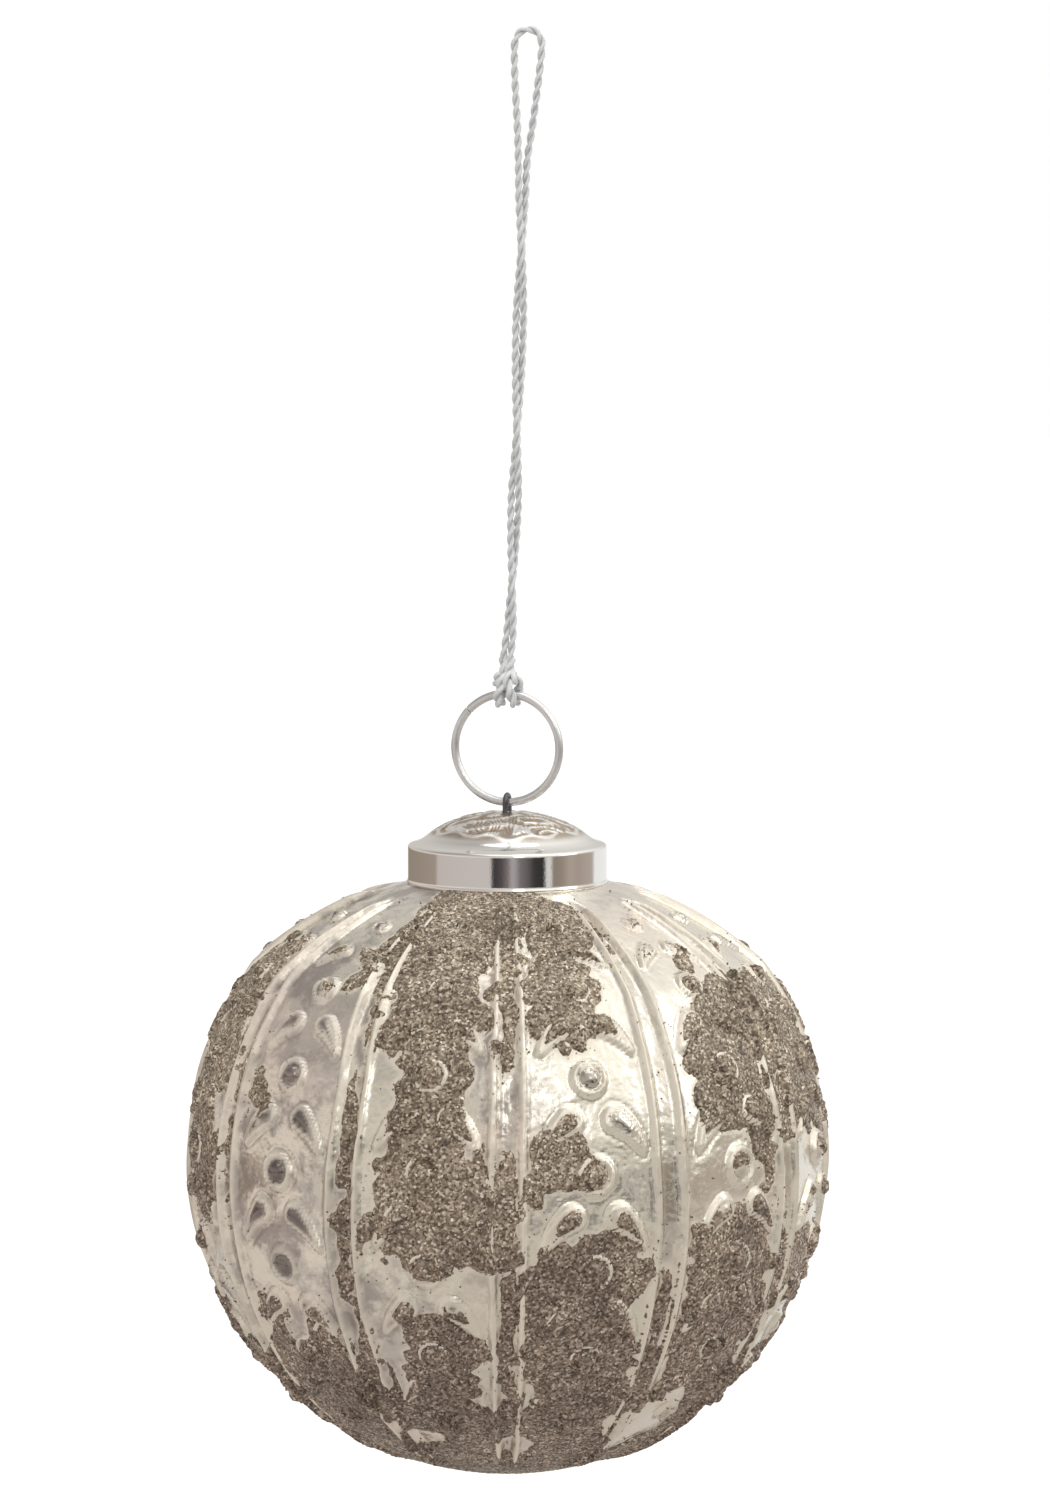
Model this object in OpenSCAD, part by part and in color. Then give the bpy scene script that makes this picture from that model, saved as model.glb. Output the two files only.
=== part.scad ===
/* [Ball] */
// Outer diameter of the blown glass ball
ball_d = 100; // [90:1:140]
// Thickness of the blown glass wall
glass_t = 1.2; // [0.8:0.1:1.6]
// Diameter at which the ball's round side turns into its flatter shoulder
shoulder_d = 79; // [70:1:86]
// Depth of the cap's lower edge below the top that a full sphere would have
cap_sink = 6.5; // [5:0.5:9]
// Outer diameter of the open neck that stands inside the cap
neck_d = 29.2; // [24:0.2:29.6]
// Thickness of the silver lining, drawn thicker than the real coat
lining_t = 0.1; // [0.1:0.05:0.3]

/* [Grain coat] */
// Height of the glued glass grains above the ball
coat_t = 0.6; // [0.4:0.1:1]
// Layer of glue between the ball and the grains
glue_t = 0.05; // [0.05:0.05:0.2]

/* [Cap] */
// Outer diameter of the stamped cap
cap_d = 31.8; // [31:0.2:38]
// Height of the plain band round the cap
band_h = 6.2; // [5:0.2:8]
// Height of the embossed dome above the band
dome_h = 5.2; // [4:0.2:7]
// Thickness of the cap's sheet metal
sheet_t = 0.4; // [0.3:0.05:0.6]
// Diameter of the rolled lip at the cap's lower edge
lip_d = 0.9; // [0.8:0.1:1.2]
// Gap between the cap's lower edge and the shoulder of the ball
edge_gap = 0.3; // [0.2:0.1:0.5]
// Gap between the rim of the neck and the inside of the cap
seat_gap = 0.1; // [0.05:0.05:0.3]

/* [Staple] */
// Diameter of the staple's spring wire
staple_wire = 0.8; // [0.6:0.1:1]
// Running clearance of the ring in the eye of the staple
eye_clear = 0.1; // [0.05:0.05:0.1]
// Clearance of the staple's wire in its two holes in the cap
hole_clear = 0.15; // [0.1:0.05:0.3]
// Length of each prong's straight stretch under the eye
leg_h = 3.4; // [3:0.2:5]
// Height of each prong's sloping stretch inside the neck
prong_h = 13.4; // [11:0.2:16]
// Clearance between the prong tips and the inside of the neck
tip_clear = 0.3; // [0.2:0.1:0.6]

/* [Ring] */
// Outer diameter of the split ring
ring_d = 18.5; // [16:0.5:23]
// Diameter of the ring's wire
ring_wire = 1.3; // [1:0.1:1.6]
// Width of the hairline joint in the ring
joint_w = 0.15; // [0.1:0.05:0.3]
// Place of that joint, in degrees up from the ring's right side
joint_at = 137; // [110:1:160]
// Gap between the ring's lowest point and the top of the cap
ring_gap = 0.75; // [0.5:0.05:1.5]

/* [Cord] */
// Diameter of the twisted cord
cord_d = 1.1; // [0.9:0.1:1.2]
// Height from the hanging point down to the wire at the top of the ring
cord_drop = 103.5; // [103.5:0.5:110]
// Sideways distance of the hanging point from the ball's axis
cord_lean = 3.5; // [3.5:0.1:4]
// Distance between the knot's two turns round the ring
knot_pitch = 2.7; // [2.5:0.1:3.2]
// Room that the knot leaves round the ring's wire
knot_clear = 0.35; // [0.3:0.05:0.5]

/* [Hidden] */
$fn = 96;
cut = 0.5;        // how far a cutting shape runs past what it cuts
far = 200;        // longer than anything that it trims

ball_r = ball_d / 2;
cap_r = cap_d / 2;
neck_r = neck_d / 2;
ring_r = (ring_d - ring_wire) / 2;
eye_r = ring_wire / 2 + eye_clear + staple_wire / 2;

// Heights, from the hanging point at zero down to the ball
ring_z = -cord_drop - ring_r;
eye_z = ring_z - ring_r;
dome_top_z = eye_z - ring_wire / 2 - ring_gap;
band_top_z = dome_top_z - dome_h;
cap_z = band_top_z - band_h;
ball_z = cap_z + cap_sink - ball_r;

// The dome is part of a sphere that meets the band at its outer edge
dome_r = (cap_r * cap_r + dome_h * dome_h) / (2 * dome_h);
dome_z = dome_top_z - dome_r;
rim_z = dome_z + sqrt(pow(dome_r - sheet_t, 2) - neck_r * neck_r) - seat_gap;

// The shoulder is part of a larger sphere, through the edge of the cap and the start of the shoulder
shoulder_r = shoulder_d / 2;
start_z = ball_z + sqrt(ball_r * ball_r - shoulder_r * shoulder_r);
edge_z = cap_z - edge_gap;
crown_z = (shoulder_r * shoulder_r - cap_r * cap_r + start_z * start_z - edge_z * edge_z)
    / (2 * (start_z - edge_z));
crown_r = sqrt(cap_r * cap_r + pow(edge_z - crown_z, 2));

// The grains round the neck stop just outside the cap's edge
neck_patch_gap = 1.5;
neck_patch_top = atan((edge_z - ball_z) / (cap_r + neck_patch_gap));

// Grain patches between the ribs: [middle azimuth, lowest latitude, highest latitude] in degrees
PANEL_PATCHES = [
    [272, -48, 54], [302, -48, -10], [332, -48, 28], [2, -48, 42], [32, -48, -20], [62, -30, 36],
    [92, -48, 54], [122, -48, 8], [152, -48, -28], [182, -48, 44], [212, -40, 36], [242, -48, -30]
];
panel_sweep = 26;                 // width of a patch between two ribs, in degrees
FOOT_PATCH = [0, 360, -90, -50];  // first azimuth, sweep, lowest and highest latitude
NECK_PATCH = [0, 360, 57, neck_patch_top];

// The cord's route: up the first leg, over the hanging point and down the second leg
CORD_ROUTE = [
    [-2.9, 0.1, -98.5], [-2.9, 0.1, -97], [-2.5, 0, -94], [-2.4, -0.4, -89], [-2.6, -0.6, -84],
    [-2.8, -0.4, -78], [-2.8, 0, -72], [-2.4, 0.4, -66], [-1.8, 0.6, -59],
    [-1.2, 0.4, -52], [-0.8, 0, -44], [-0.8, -0.4, -37], [-1.1, -0.6, -31],
    [-1.4, -0.5, -25], [-1.5, -0.4, -20], [-1.7, -0.4, -14], [-2, -0.5, -8],
    [-2.1, -0.6, -3.5], [-2, -0.6, -1.4], [-1.3, -0.4, 0.1], [0, 0, 0.6],
    [1.3, 0.4, 0.1], [2, 0.6, -1.4], [1.9, 0.6, -3.5], [1.4, 0.5, -8],
    [0.6, 0.4, -14], [-0.3, 0.3, -20], [-0.6, 0.5, -25], [-1.1, 0.6, -31],
    [-1.6, 0.4, -37], [-2, 0, -44], [-2, -0.4, -52], [-1.8, -0.6, -59],
    [-1.6, -0.4, -66], [-1.6, 0, -72], [-2, 0.4, -78], [-2.6, 0.6, -84],
    [-3.2, 0.4, -89], [-3.6, 0, -94],
    [-4, -0.1, -97], [-4, -0.1, -98.5]
];
ring_step = 2.9;  // distance between the rings of the cord's tube
tube_sides = 8;
stem_top_z = -98.6;

// A smooth curve through the route: four neighbouring points and a share t of the way from b to c
function spline(a, b, c, d, t) =
    0.5 * (2 * b + (c - a) * t + (2 * a - 5 * b + 4 * c - d) * t * t
    + (3 * b - a - 3 * c + d) * t * t * t);

function at_stop(p, i) = p[max(0, min(len(p) - 1, i))];

// Points on the curve about one step apart, the last point included
function along(p, step) = [
    for (i = [0 : len(p) - 2])
        let (n = max(1, round(norm(p[i + 1] - p[i]) / step)))
        for (k = [0 : n - 1])
            spline(at_stop(p, i - 1), p[i], p[i + 1], at_stop(p, i + 2), k / n),
    p[len(p) - 1]
];

function unit(v) = v / norm(v);

// A circle of points round each point of the line, square to the line there
function tube_ring(q, i, r, sides) =
    let (
        t = unit(at_stop(q, i + 1) - at_stop(q, i - 1)),
        u = unit(cross(t, [0.292, -0.956, 0])),
        v = cross(t, u)
    )
    [for (k = [0 : sides - 1]) q[i] + r * (cos(360 * k / sides) * u + sin(360 * k / sides) * v)];

module tube(q, r, sides) {
    n = len(q);
    points = [for (i = [0 : n - 1]) each tube_ring(q, i, r, sides)];
    walls = [
        for (i = [0 : n - 2])
            for (k = [0 : sides - 1])
                let (a = i * sides + k, b = i * sides + (k + 1) % sides)
                each [[a, b, b + sides], [a, b + sides, a + sides]]
    ];
    start_face = [[for (k = [sides - 1 : -1 : 0]) k]];
    end_face = [[for (k = [0 : sides - 1]) (n - 1) * sides + k]];
    polyhedron(points, concat(walls, start_face, end_face));
}

// The right half of the ball's outline, moved out by a distance
module ball_outline(out) {
    intersection() {
        translate([0, ball_z]) circle(ball_r + out);
        translate([0, crown_z]) circle(crown_r + out);
        translate([0, ball_z - far]) square([far, 2 * far]);
    }
}

// The ball's outline with its neck, up to a height
module blown_outline(out, top_z) {
    ball_outline(out);
    translate([0, ball_z]) square([neck_r + out, top_z - ball_z]);
}

// The part of an upright plane between two latitudes as seen from the ball's centre
module latitude_wedge(low, high) {
    middle = (low + high) / 2;
    translate([0, ball_z])
        polygon([
            [0, 0], [far * cos(low), far * sin(low)],
            [2 * far * cos(middle), 2 * far * sin(middle)], [far * cos(high), far * sin(high)]
        ]);
}

// A ring of round wire that lies round the X axis at a height
module wire_hoop(r, wire, x, z) {
    translate([x, 0, z]) rotate([0, 90, 0]) rotate_extrude() translate([r, 0]) circle(wire / 2);
}

// A rod between two points of an upright plane square to X, with a ball a hair fatter at each end
module rod(y0, z0, y1, z1, wire) {
    run = norm([y1 - y0, z1 - z0]);
    translate([0, y0, z0]) rotate([atan2(z1 - z0, y1 - y0) - 90, 0, 0]) cylinder(h = run, d = wire);
    for (end = [[y0, z0], [y1, z1]]) translate([0, end[0], end[1]]) sphere(d = 1.05 * wire);
}

module on_axis() {
    translate([-cord_lean, 0, 0]) children();
}

module glass_ball() {
    color([0.84, 0.8, 0.74])
        on_axis()
            rotate_extrude()
                difference() {
                    blown_outline(0, rim_z);
                    blown_outline(-glass_t, rim_z + cut);
                }
}

module silver_lining() {
    outside = -glass_t - glue_t;
    color([0.78, 0.77, 0.76])
        on_axis()
            rotate_extrude()
                difference() {
                    blown_outline(outside, rim_z - cut);
                    blown_outline(outside - lining_t, rim_z + cut);
                }
}

module grain_coat() {
    panels = [
        for (p = PANEL_PATCHES) [p[0] - panel_sweep / 2, panel_sweep, p[1], p[2]]
    ];
    color([0.52, 0.48, 0.44])
        on_axis()
            for (p = concat(panels, [FOOT_PATCH, NECK_PATCH]))
                rotate([0, 0, p[0]])
                    rotate_extrude(angle = p[1])
                        intersection() {
                            difference() {
                                ball_outline(glue_t + coat_t);
                                ball_outline(glue_t);
                            }
                            latitude_wedge(p[2], p[3]);
                        }
}

// The right half of the cap's outline, moved in by a distance
module cap_outline(inset, low_z) {
    intersection() {
        translate([0, dome_z]) circle(dome_r - inset);
        translate([0, low_z]) square([cap_r - inset, far]);
    }
}

module cap_shell() {
    hole_d = staple_wire + 2 * hole_clear;
    color([0.8, 0.79, 0.78])
        on_axis()
            difference() {
                rotate_extrude() {
                    difference() {
                        cap_outline(0, cap_z);
                        cap_outline(sheet_t, cap_z - cut);
                    }
                    translate([cap_r - sheet_t / 2, cap_z + lip_d / 2]) circle(lip_d / 2);
                }
                for (y = [-eye_r, eye_r])
                    translate([0, y, band_top_z]) cylinder(h = dome_h + cut, d = hole_d);
            }
}

module staple_prongs() {
    tip_y = neck_r - glass_t - tip_clear - staple_wire / 2;
    knee_z = eye_z - leg_h;
    color([0.25, 0.25, 0.26])
        on_axis() {
            translate([0, 0, eye_z])
                rotate([90, 0, 90])
                    rotate_extrude(angle = 180) translate([eye_r, 0]) circle(staple_wire / 2);
            for (side = [-1, 1]) {
                rod(side * eye_r, eye_z, side * eye_r, knee_z, staple_wire);
                rod(side * eye_r, knee_z, side * tip_y, knee_z - prong_h, staple_wire);
            }
        }
}

module hanger_ring() {
    gap = joint_w / ring_r * 180 / PI;
    color([0.72, 0.7, 0.68])
        on_axis()
            translate([0, 0, ring_z])
                rotate([90, 0, 0])
                    rotate([0, 0, joint_at + gap / 2])
                        rotate_extrude(angle = 360 - gap)
                            translate([ring_r, 0]) circle(ring_wire / 2);
}

module cord_loop() {
    color([0.7, 0.7, 0.72]) tube(along(CORD_ROUTE, ring_step), cord_d / 2, tube_sides);
}

// The hitch round the ring: two turns, a rounded head over each, and the stem that the legs enter
module cord_knot() {
    wire_z = -cord_drop;
    turn_r = ring_wire / 2 + knot_clear + cord_d / 2;
    head_r = 1.15 * cord_d;
    head_z = wire_z + turn_r + 0.25 * cord_d;
    color([0.66, 0.66, 0.68])
        on_axis()
            difference() {
                union() {
                    for (x = [-knot_pitch / 2, knot_pitch / 2]) {
                        wire_hoop(turn_r, cord_d, x, wire_z);
                        translate([x, 0, head_z]) sphere(head_r);
                    }
                    translate([0, 0, wire_z]) cylinder(h = stem_top_z - wire_z, r = 1.2 * cord_d);
                }
                translate([-knot_pitch, 0, wire_z]) rotate([0, 90, 0])
                    cylinder(h = 2 * knot_pitch, d = ring_wire + 2 * knot_clear);
            }
}

glass_ball();
silver_lining();
grain_coat();
cap_shell();
staple_prongs();
hanger_ring();
cord_loop();
cord_knot();
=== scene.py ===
"""A hanging ball ornament of embossed silvered glass: its finishes and fine shapes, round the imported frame.

Lengths in the classes are millimetres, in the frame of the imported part. Turns are degrees round the
ball, counted from its front rib, and latitudes are degrees seen from the ball's centre.
"""

import logging
from dataclasses import dataclass, field
from enum import Enum
from typing import Any, Dict, Optional, Sequence, Tuple, Union

import bpy
import numpy as np
from mathutils import Matrix, Vector


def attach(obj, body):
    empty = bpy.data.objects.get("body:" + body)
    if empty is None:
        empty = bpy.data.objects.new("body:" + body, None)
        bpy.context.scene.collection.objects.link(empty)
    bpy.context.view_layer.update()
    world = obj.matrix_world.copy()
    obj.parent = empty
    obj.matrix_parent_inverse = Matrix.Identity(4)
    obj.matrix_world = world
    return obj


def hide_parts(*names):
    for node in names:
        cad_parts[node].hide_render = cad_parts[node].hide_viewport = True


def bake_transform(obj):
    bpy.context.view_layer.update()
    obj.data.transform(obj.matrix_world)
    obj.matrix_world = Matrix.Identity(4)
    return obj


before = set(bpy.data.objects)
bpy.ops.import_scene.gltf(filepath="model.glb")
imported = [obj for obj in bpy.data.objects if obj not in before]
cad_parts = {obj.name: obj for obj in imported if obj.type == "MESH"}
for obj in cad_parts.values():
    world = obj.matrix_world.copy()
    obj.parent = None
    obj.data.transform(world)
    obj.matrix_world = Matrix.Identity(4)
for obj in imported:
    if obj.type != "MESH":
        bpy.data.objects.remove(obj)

LOG = logging.getLogger("ornament")
METRES = 0.001
AXIS_X = -3.5
BALL_Z = -177.0
BALL_R = 50.0
FRONT_RIB = 287.0
MM_PER_DEGREE = np.pi * BALL_R / 180.0
BALL_MIDDLE = np.array([AXIS_X, 0.0, BALL_Z])
Place = Tuple[float, float, float]
Area = Tuple[float, float, float, float]
Colour = Tuple[float, float, float]
Ramp = Tuple[Tuple[float, Colour], ...]
Plug = Union["Signal", float, Tuple[float, ...]]


# ---------------------------------------------------------------------------------------------
# Shader maths
# ---------------------------------------------------------------------------------------------


class Signal:
    """An output socket that can be used in Python arithmetic."""

    def __init__(self, tree: "ShaderTree", socket: bpy.types.NodeSocket) -> None:
        """Holds the socket and the tree that it is in."""
        self.tree = tree
        self.socket = socket

    def _math(self, operation: str, first: Plug, second: Plug = 0.0) -> "Signal":
        """Adds one Math node and returns its value."""
        return self.tree.node("ShaderNodeMath", {"operation": operation}, {0: first, 1: second})[0]

    def __add__(self, other: Plug) -> "Signal":
        """Sum."""
        return self._math("ADD", self, other)

    def __radd__(self, other: Plug) -> "Signal":
        """Sum, with the number first."""
        return self._math("ADD", other, self)

    def __sub__(self, other: Plug) -> "Signal":
        """Difference."""
        return self._math("SUBTRACT", self, other)

    def __rsub__(self, other: Plug) -> "Signal":
        """Difference, with the number first."""
        return self._math("SUBTRACT", other, self)

    def __mul__(self, other: Plug) -> "Signal":
        """Product."""
        return self._math("MULTIPLY", self, other)

    def __rmul__(self, other: Plug) -> "Signal":
        """Product, with the number first."""
        return self._math("MULTIPLY", other, self)

    def __truediv__(self, other: Plug) -> "Signal":
        """Quotient."""
        return self._math("DIVIDE", self, other)

    def clamped(self, low: float = 0.0, high: float = 1.0) -> "Signal":
        """The value held between two limits."""
        return self._math("MINIMUM", self._math("MAXIMUM", self, low), high)

    def step(self, start: float, end: float) -> "Signal":
        """A smooth rise from 0 at start to 1 at end.

        Args:
            start: Value at which the rise begins.
            end: Value at which it ends.

        Returns:
            t * t * (3 - 2 t), where t is the clamped share of the way.
        """
        share = ((self - start) / (end - start)).clamped()
        return share * share * (3.0 - 2.0 * share)


class Outlets:
    """The outputs of a node, by name or number, as signals."""

    def __init__(self, tree: "ShaderTree", node: bpy.types.Node) -> None:
        """Holds the node and the tree that it is in."""
        self.tree = tree
        self.made = node

    def __getitem__(self, key: Union[int, str]) -> Signal:
        """One output as a signal."""
        return Signal(self.tree, self.made.outputs[key])


class ShaderTree:
    """A new material, or the surround, and the nodes in it."""

    def __init__(self, name: str, surround: Optional[bpy.types.World] = None) -> None:
        """Makes an empty material of that name, or empties the surround that is given."""
        self.owner = surround or bpy.data.materials.new(name)
        self.owner.use_nodes = True
        self.owner.node_tree.nodes.clear()

    def node(
        self,
        kind: str,
        settings: Optional[Dict[str, Any]] = None,
        inputs: Optional[Dict[Union[int, str], Plug]] = None,
    ) -> Outlets:
        """Adds a node, sets it up and then fills its sockets.

        Args:
            kind: Blender's name of the node type.
            settings: The node's own properties; "stops" holds a ramp's (place, colour) pairs.
            inputs: Numbers, colours or signals for its input sockets.

        Returns:
            The node's outputs.
        """
        made = self.owner.node_tree.nodes.new(kind)
        for key, value in (settings or {}).items():
            if key == "stops":
                self._fill_ramp(made.color_ramp, value)
            else:
                setattr(made, key, value)
        for key, value in (inputs or {}).items():
            socket = made.inputs[key]
            if isinstance(value, Signal):
                self.owner.node_tree.links.new(value.socket, socket)
            elif isinstance(value, tuple) and socket.type == "RGBA":
                socket.default_value = (*value[:3], 1.0)
            else:
                socket.default_value = value
        return Outlets(self, made)

    @staticmethod
    def _fill_ramp(ramp: bpy.types.ColorRamp, stops: Ramp) -> None:
        """Gives a colour ramp its stops, in order."""
        while len(ramp.elements) < len(stops):
            ramp.elements.new(1.0)
        for element, (place, colour) in zip(ramp.elements, stops):
            element.position = place
            element.color = (*colour, 1.0)

    def object_place(self) -> Signal:
        """The object coordinates of the point."""
        return self.node("ShaderNodeTexCoord")["Object"]

    def attribute(self, name: str) -> Signal:
        """A number stored on the mesh."""
        return self.node("ShaderNodeAttribute", {"attribute_name": name})["Fac"]

    def noise(self, scale: float, detail: float = 2.0, rough: float = 0.5) -> Signal:
        """Cloudy noise of so many waves per metre, from 0 to 1."""
        inputs = {"Vector": self.object_place(), "Scale": scale, "Detail": detail, "Roughness": rough}
        return self.node("ShaderNodeTexNoise", {}, inputs)[0]

    def mix(self, share: Plug, first: Plug, second: Plug, way: str = "MIX") -> Signal:
        """Two colours mixed in a given way."""
        settings = {"data_type": "RGBA", "blend_type": way}
        return self.node("ShaderNodeMix", settings, {0: share, 6: first, 7: second})[2]

    def bump(self, height: Signal, depth: float, strength: float = 1.0) -> Signal:
        """A normal tilted by a height, whose full range is so many metres deep."""
        inputs = {"Strength": strength, "Distance": depth, "Height": height}
        return self.node("ShaderNodeBump", {}, inputs)["Normal"]

    def finish(self, inputs: Dict[Union[int, str], Plug]) -> bpy.types.Material:
        """Ends the tree in one Principled shader with these inputs."""
        shader = self.node("ShaderNodeBsdfPrincipled", {}, inputs)
        self.node("ShaderNodeOutputMaterial", {}, {"Surface": shader[0]})
        return self.owner


# ---------------------------------------------------------------------------------------------
# Surfaces
# ---------------------------------------------------------------------------------------------


@dataclass
class Skin:
    """Points in millimetres, with quads and triangles between them, facing outwards."""

    points: np.ndarray
    quads: np.ndarray = field(default_factory=lambda: np.zeros((0, 4), int))
    triangles: np.ndarray = field(default_factory=lambda: np.zeros((0, 3), int))
    numbers: Dict[str, np.ndarray] = field(default_factory=dict)
    normals: Optional[np.ndarray] = None

    def build(self, name: str, smooth: bool = True) -> bpy.types.Object:
        """Puts the skin into a new mesh object at the origin.

        Args:
            name: The piece's name.
            smooth: Whether its shading is smooth.

        Returns:
            The new object.
        """
        mesh = bpy.data.meshes.new(name)
        corners = np.concatenate([self.quads.ravel(), self.triangles.ravel()])
        sizes = np.concatenate([np.full(len(self.quads), 4), np.full(len(self.triangles), 3)])
        starts = np.concatenate([[0], np.cumsum(sizes)[:-1]])
        mesh.vertices.add(len(self.points))
        mesh.vertices.foreach_set("co", (self.points * METRES).astype(np.float32).ravel())
        mesh.loops.add(len(corners))
        mesh.loops.foreach_set("vertex_index", corners.astype(np.int32))
        mesh.polygons.add(len(sizes))
        mesh.polygons.foreach_set("loop_start", starts.astype(np.int32))
        mesh.polygons.foreach_set("use_smooth", np.full(len(sizes), smooth))
        mesh.update(calc_edges=True)
        for key, values in self.numbers.items():
            mesh.attributes.new(key, "FLOAT", "POINT").data.foreach_set("value", values.astype(np.float32))
        if self.normals is not None:
            mesh.normals_split_custom_set_from_vertices(self.normals.astype(np.float32))
        made = bpy.data.objects.new(name, mesh)
        bpy.context.scene.collection.objects.link(made)
        return made


def joined(skins: Sequence[Skin]) -> Skin:
    """Several skins as one, each one's faces counted on from the last one's points."""
    offsets = np.cumsum([0] + [len(s.points) for s in skins[:-1]])
    return Skin(
        np.concatenate([s.points for s in skins]),
        np.concatenate([s.quads + o for s, o in zip(skins, offsets)]),
        np.concatenate([s.triangles + o for s, o in zip(skins, offsets)]),
        {k: np.concatenate([s.numbers[k] for s in skins]) for k in skins[0].numbers},
    )


def unit(vectors: np.ndarray) -> np.ndarray:
    """Vectors brought to length one."""
    return vectors / np.maximum(np.linalg.norm(vectors, axis=-1, keepdims=True), 1e-12)


def eased(value: np.ndarray, start: float, end: float) -> np.ndarray:
    """A smooth rise from 0 at start to 1 at end: t * t * (3 - 2 t) of the clamped share t."""
    share = np.clip((value - start) / (end - start), 0.0, 1.0)
    return share * share * (3.0 - 2.0 * share)


def ring_quads(rows: int, cols: int, wrap_rows: bool = False) -> np.ndarray:
    """Quads between neighbouring rings of a tube-like lattice, each ring closed on itself.

    Args:
        rows: Number of rings.
        cols: Points on each ring.
        wrap_rows: Whether the last ring is joined to the first.

    Returns:
        Indices of the corners, in the order here, next in the ring, above it, above here.
    """
    row = np.arange(rows if wrap_rows else rows - 1)[:, None]
    col = np.arange(cols)[None, :]
    over = (row + 1) % rows
    after = (col + 1) % cols
    corners = [row * cols + col, row * cols + after, over * cols + after, over * cols + col]
    return np.stack(np.broadcast_arrays(*corners), -1).reshape(-1, 4)


def capped_rings(rings: np.ndarray, first: np.ndarray, last: np.ndarray) -> Skin:
    """A stack of rings closed by a fan of triangles to one point at each end.

    Args:
        rings: Points as (rows, columns, 3), outward when columns turn left and rows go up.
        first: The point that closes the first ring.
        last: The point that closes the last ring.

    Returns:
        The closed skin.
    """
    rows, cols = rings.shape[:2]
    here = np.arange(cols)
    after = (here + 1) % cols
    low = np.stack([np.full(cols, rows * cols), after, here], -1)
    high = np.stack([np.full(cols, rows * cols + 1), here, after], -1)
    high[:, 1:] += (rows - 1) * cols
    points = np.concatenate([rings.reshape(-1, 3), [first], [last]])
    return Skin(points, ring_quads(rows, cols), np.concatenate([low, high]))


def round_turns(radii: np.ndarray, heights: np.ndarray, turns: np.ndarray) -> np.ndarray:
    """Rings round the ornament's axis: x = axis + r cos a, y = r sin a, at each height."""
    angle = np.radians(turns)
    x = AXIS_X + radii * np.cos(angle)
    y = radii * np.sin(angle)
    return np.stack(np.broadcast_arrays(x, y, heights), -1)


def spline(route: np.ndarray, steps: int) -> np.ndarray:
    """A Catmull-Rom curve through a route, in equal steps between its points.

    Args:
        route: Points as (count, 3).
        steps: Steps between two points of the route.

    Returns:
        0.5 (2b + (c - a) t + (2a - 5b + 4c - d) t^2 + (3b - a - 3c + d) t^3), and the last point.
    """
    padded = np.concatenate([route[:1], route, route[-1:]])
    a, b, c, d = (padded[i : len(padded) - 3 + i, None, :] for i in range(4))
    t = (np.arange(steps) / steps)[None, :, None]
    bend = (2 * a - 5 * b + 4 * c - d) * t**2 + (3 * b - a - 3 * c + d) * t**3
    curve = 0.5 * (2 * b + (c - a) * t + bend)
    return np.concatenate([curve.reshape(-1, 3), route[-1:]])


def curved_corner(start: np.ndarray, corner: np.ndarray, end: np.ndarray, count: int) -> np.ndarray:
    """A bend past a corner: (1 - t)^2 start + 2 t (1 - t) corner + t^2 end, at even steps of t."""
    t = np.linspace(0.0, 1.0, count)[:, None]
    return (1 - t) ** 2 * start + 2 * t * (1 - t) * corner + t**2 * end


def evenly(path: np.ndarray, step: float) -> np.ndarray:
    """The same path with its points an equal step apart."""
    along = np.concatenate([[0.0], np.cumsum(np.linalg.norm(np.diff(path, axis=0), axis=1))])
    stops = np.linspace(0.0, along[-1], max(2, int(round(along[-1] / step)) + 1))
    return np.stack([np.interp(stops, along, path[:, i]) for i in range(3)], -1)


def carried_frames(path: np.ndarray, side: Sequence[float]) -> Tuple[np.ndarray, np.ndarray, np.ndarray]:
    """Axes carried along a path without twisting.

    Args:
        path: Points as (count, 3).
        side: A direction that the first side axis leans to.

    Returns:
        The side axis, the other side axis and the direction of travel at each point. The side axis
        at each stop is the last one with its part along the travel taken off.
    """
    travel = unit(np.gradient(path, axis=0))
    sides = np.zeros_like(path)
    last = np.asarray(side, float)
    for stop, forward in enumerate(travel):
        last = unit(last - np.dot(last, forward) * forward)
        sides[stop] = last
    return sides, np.cross(travel, sides), travel


def tube(path: np.ndarray, radius: Union[float, np.ndarray], sides: int, side: Sequence[float]) -> Skin:
    """A round tube along a path, closed at both ends: path + r (u cos a + v sin a).

    Args:
        path: Points as (count, 3).
        radius: The tube's radius, or one for each point.
        sides: Points on each ring.
        side: A direction that the first side axis leans to.

    Returns:
        The closed skin.
    """
    u, v, _ = carried_frames(path, side)
    angle = (2 * np.pi * np.arange(sides) / sides)[None, :, None]
    size = np.broadcast_to(np.asarray(radius, float), (len(path),))[:, None, None]
    rings = path[:, None] + size * (u[:, None] * np.cos(angle) + v[:, None] * np.sin(angle))
    return capped_rings(rings, path[0], path[-1])


@dataclass(frozen=True)
class Ripple:
    """Smooth seeded noise in space: a sum of plane waves in random directions, about -2 to 2."""

    seed: int
    wavelength: float
    waves: int = 28

    def __call__(self, points: np.ndarray) -> np.ndarray:
        """The noise at points in millimetres, given as (..., 3)."""
        chance = np.random.default_rng(self.seed)
        heading = unit(chance.normal(size=(self.waves, 3)))
        pitch = 2 * np.pi / (self.wavelength * chance.uniform(0.7, 1.5, self.waves))
        phase = chance.uniform(0, 2 * np.pi, self.waves)
        return np.sqrt(2 / self.waves) * np.cos(points @ (heading * pitch[:, None]).T + phase).sum(-1)


# ---------------------------------------------------------------------------------------------
# Finishes
# ---------------------------------------------------------------------------------------------


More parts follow.
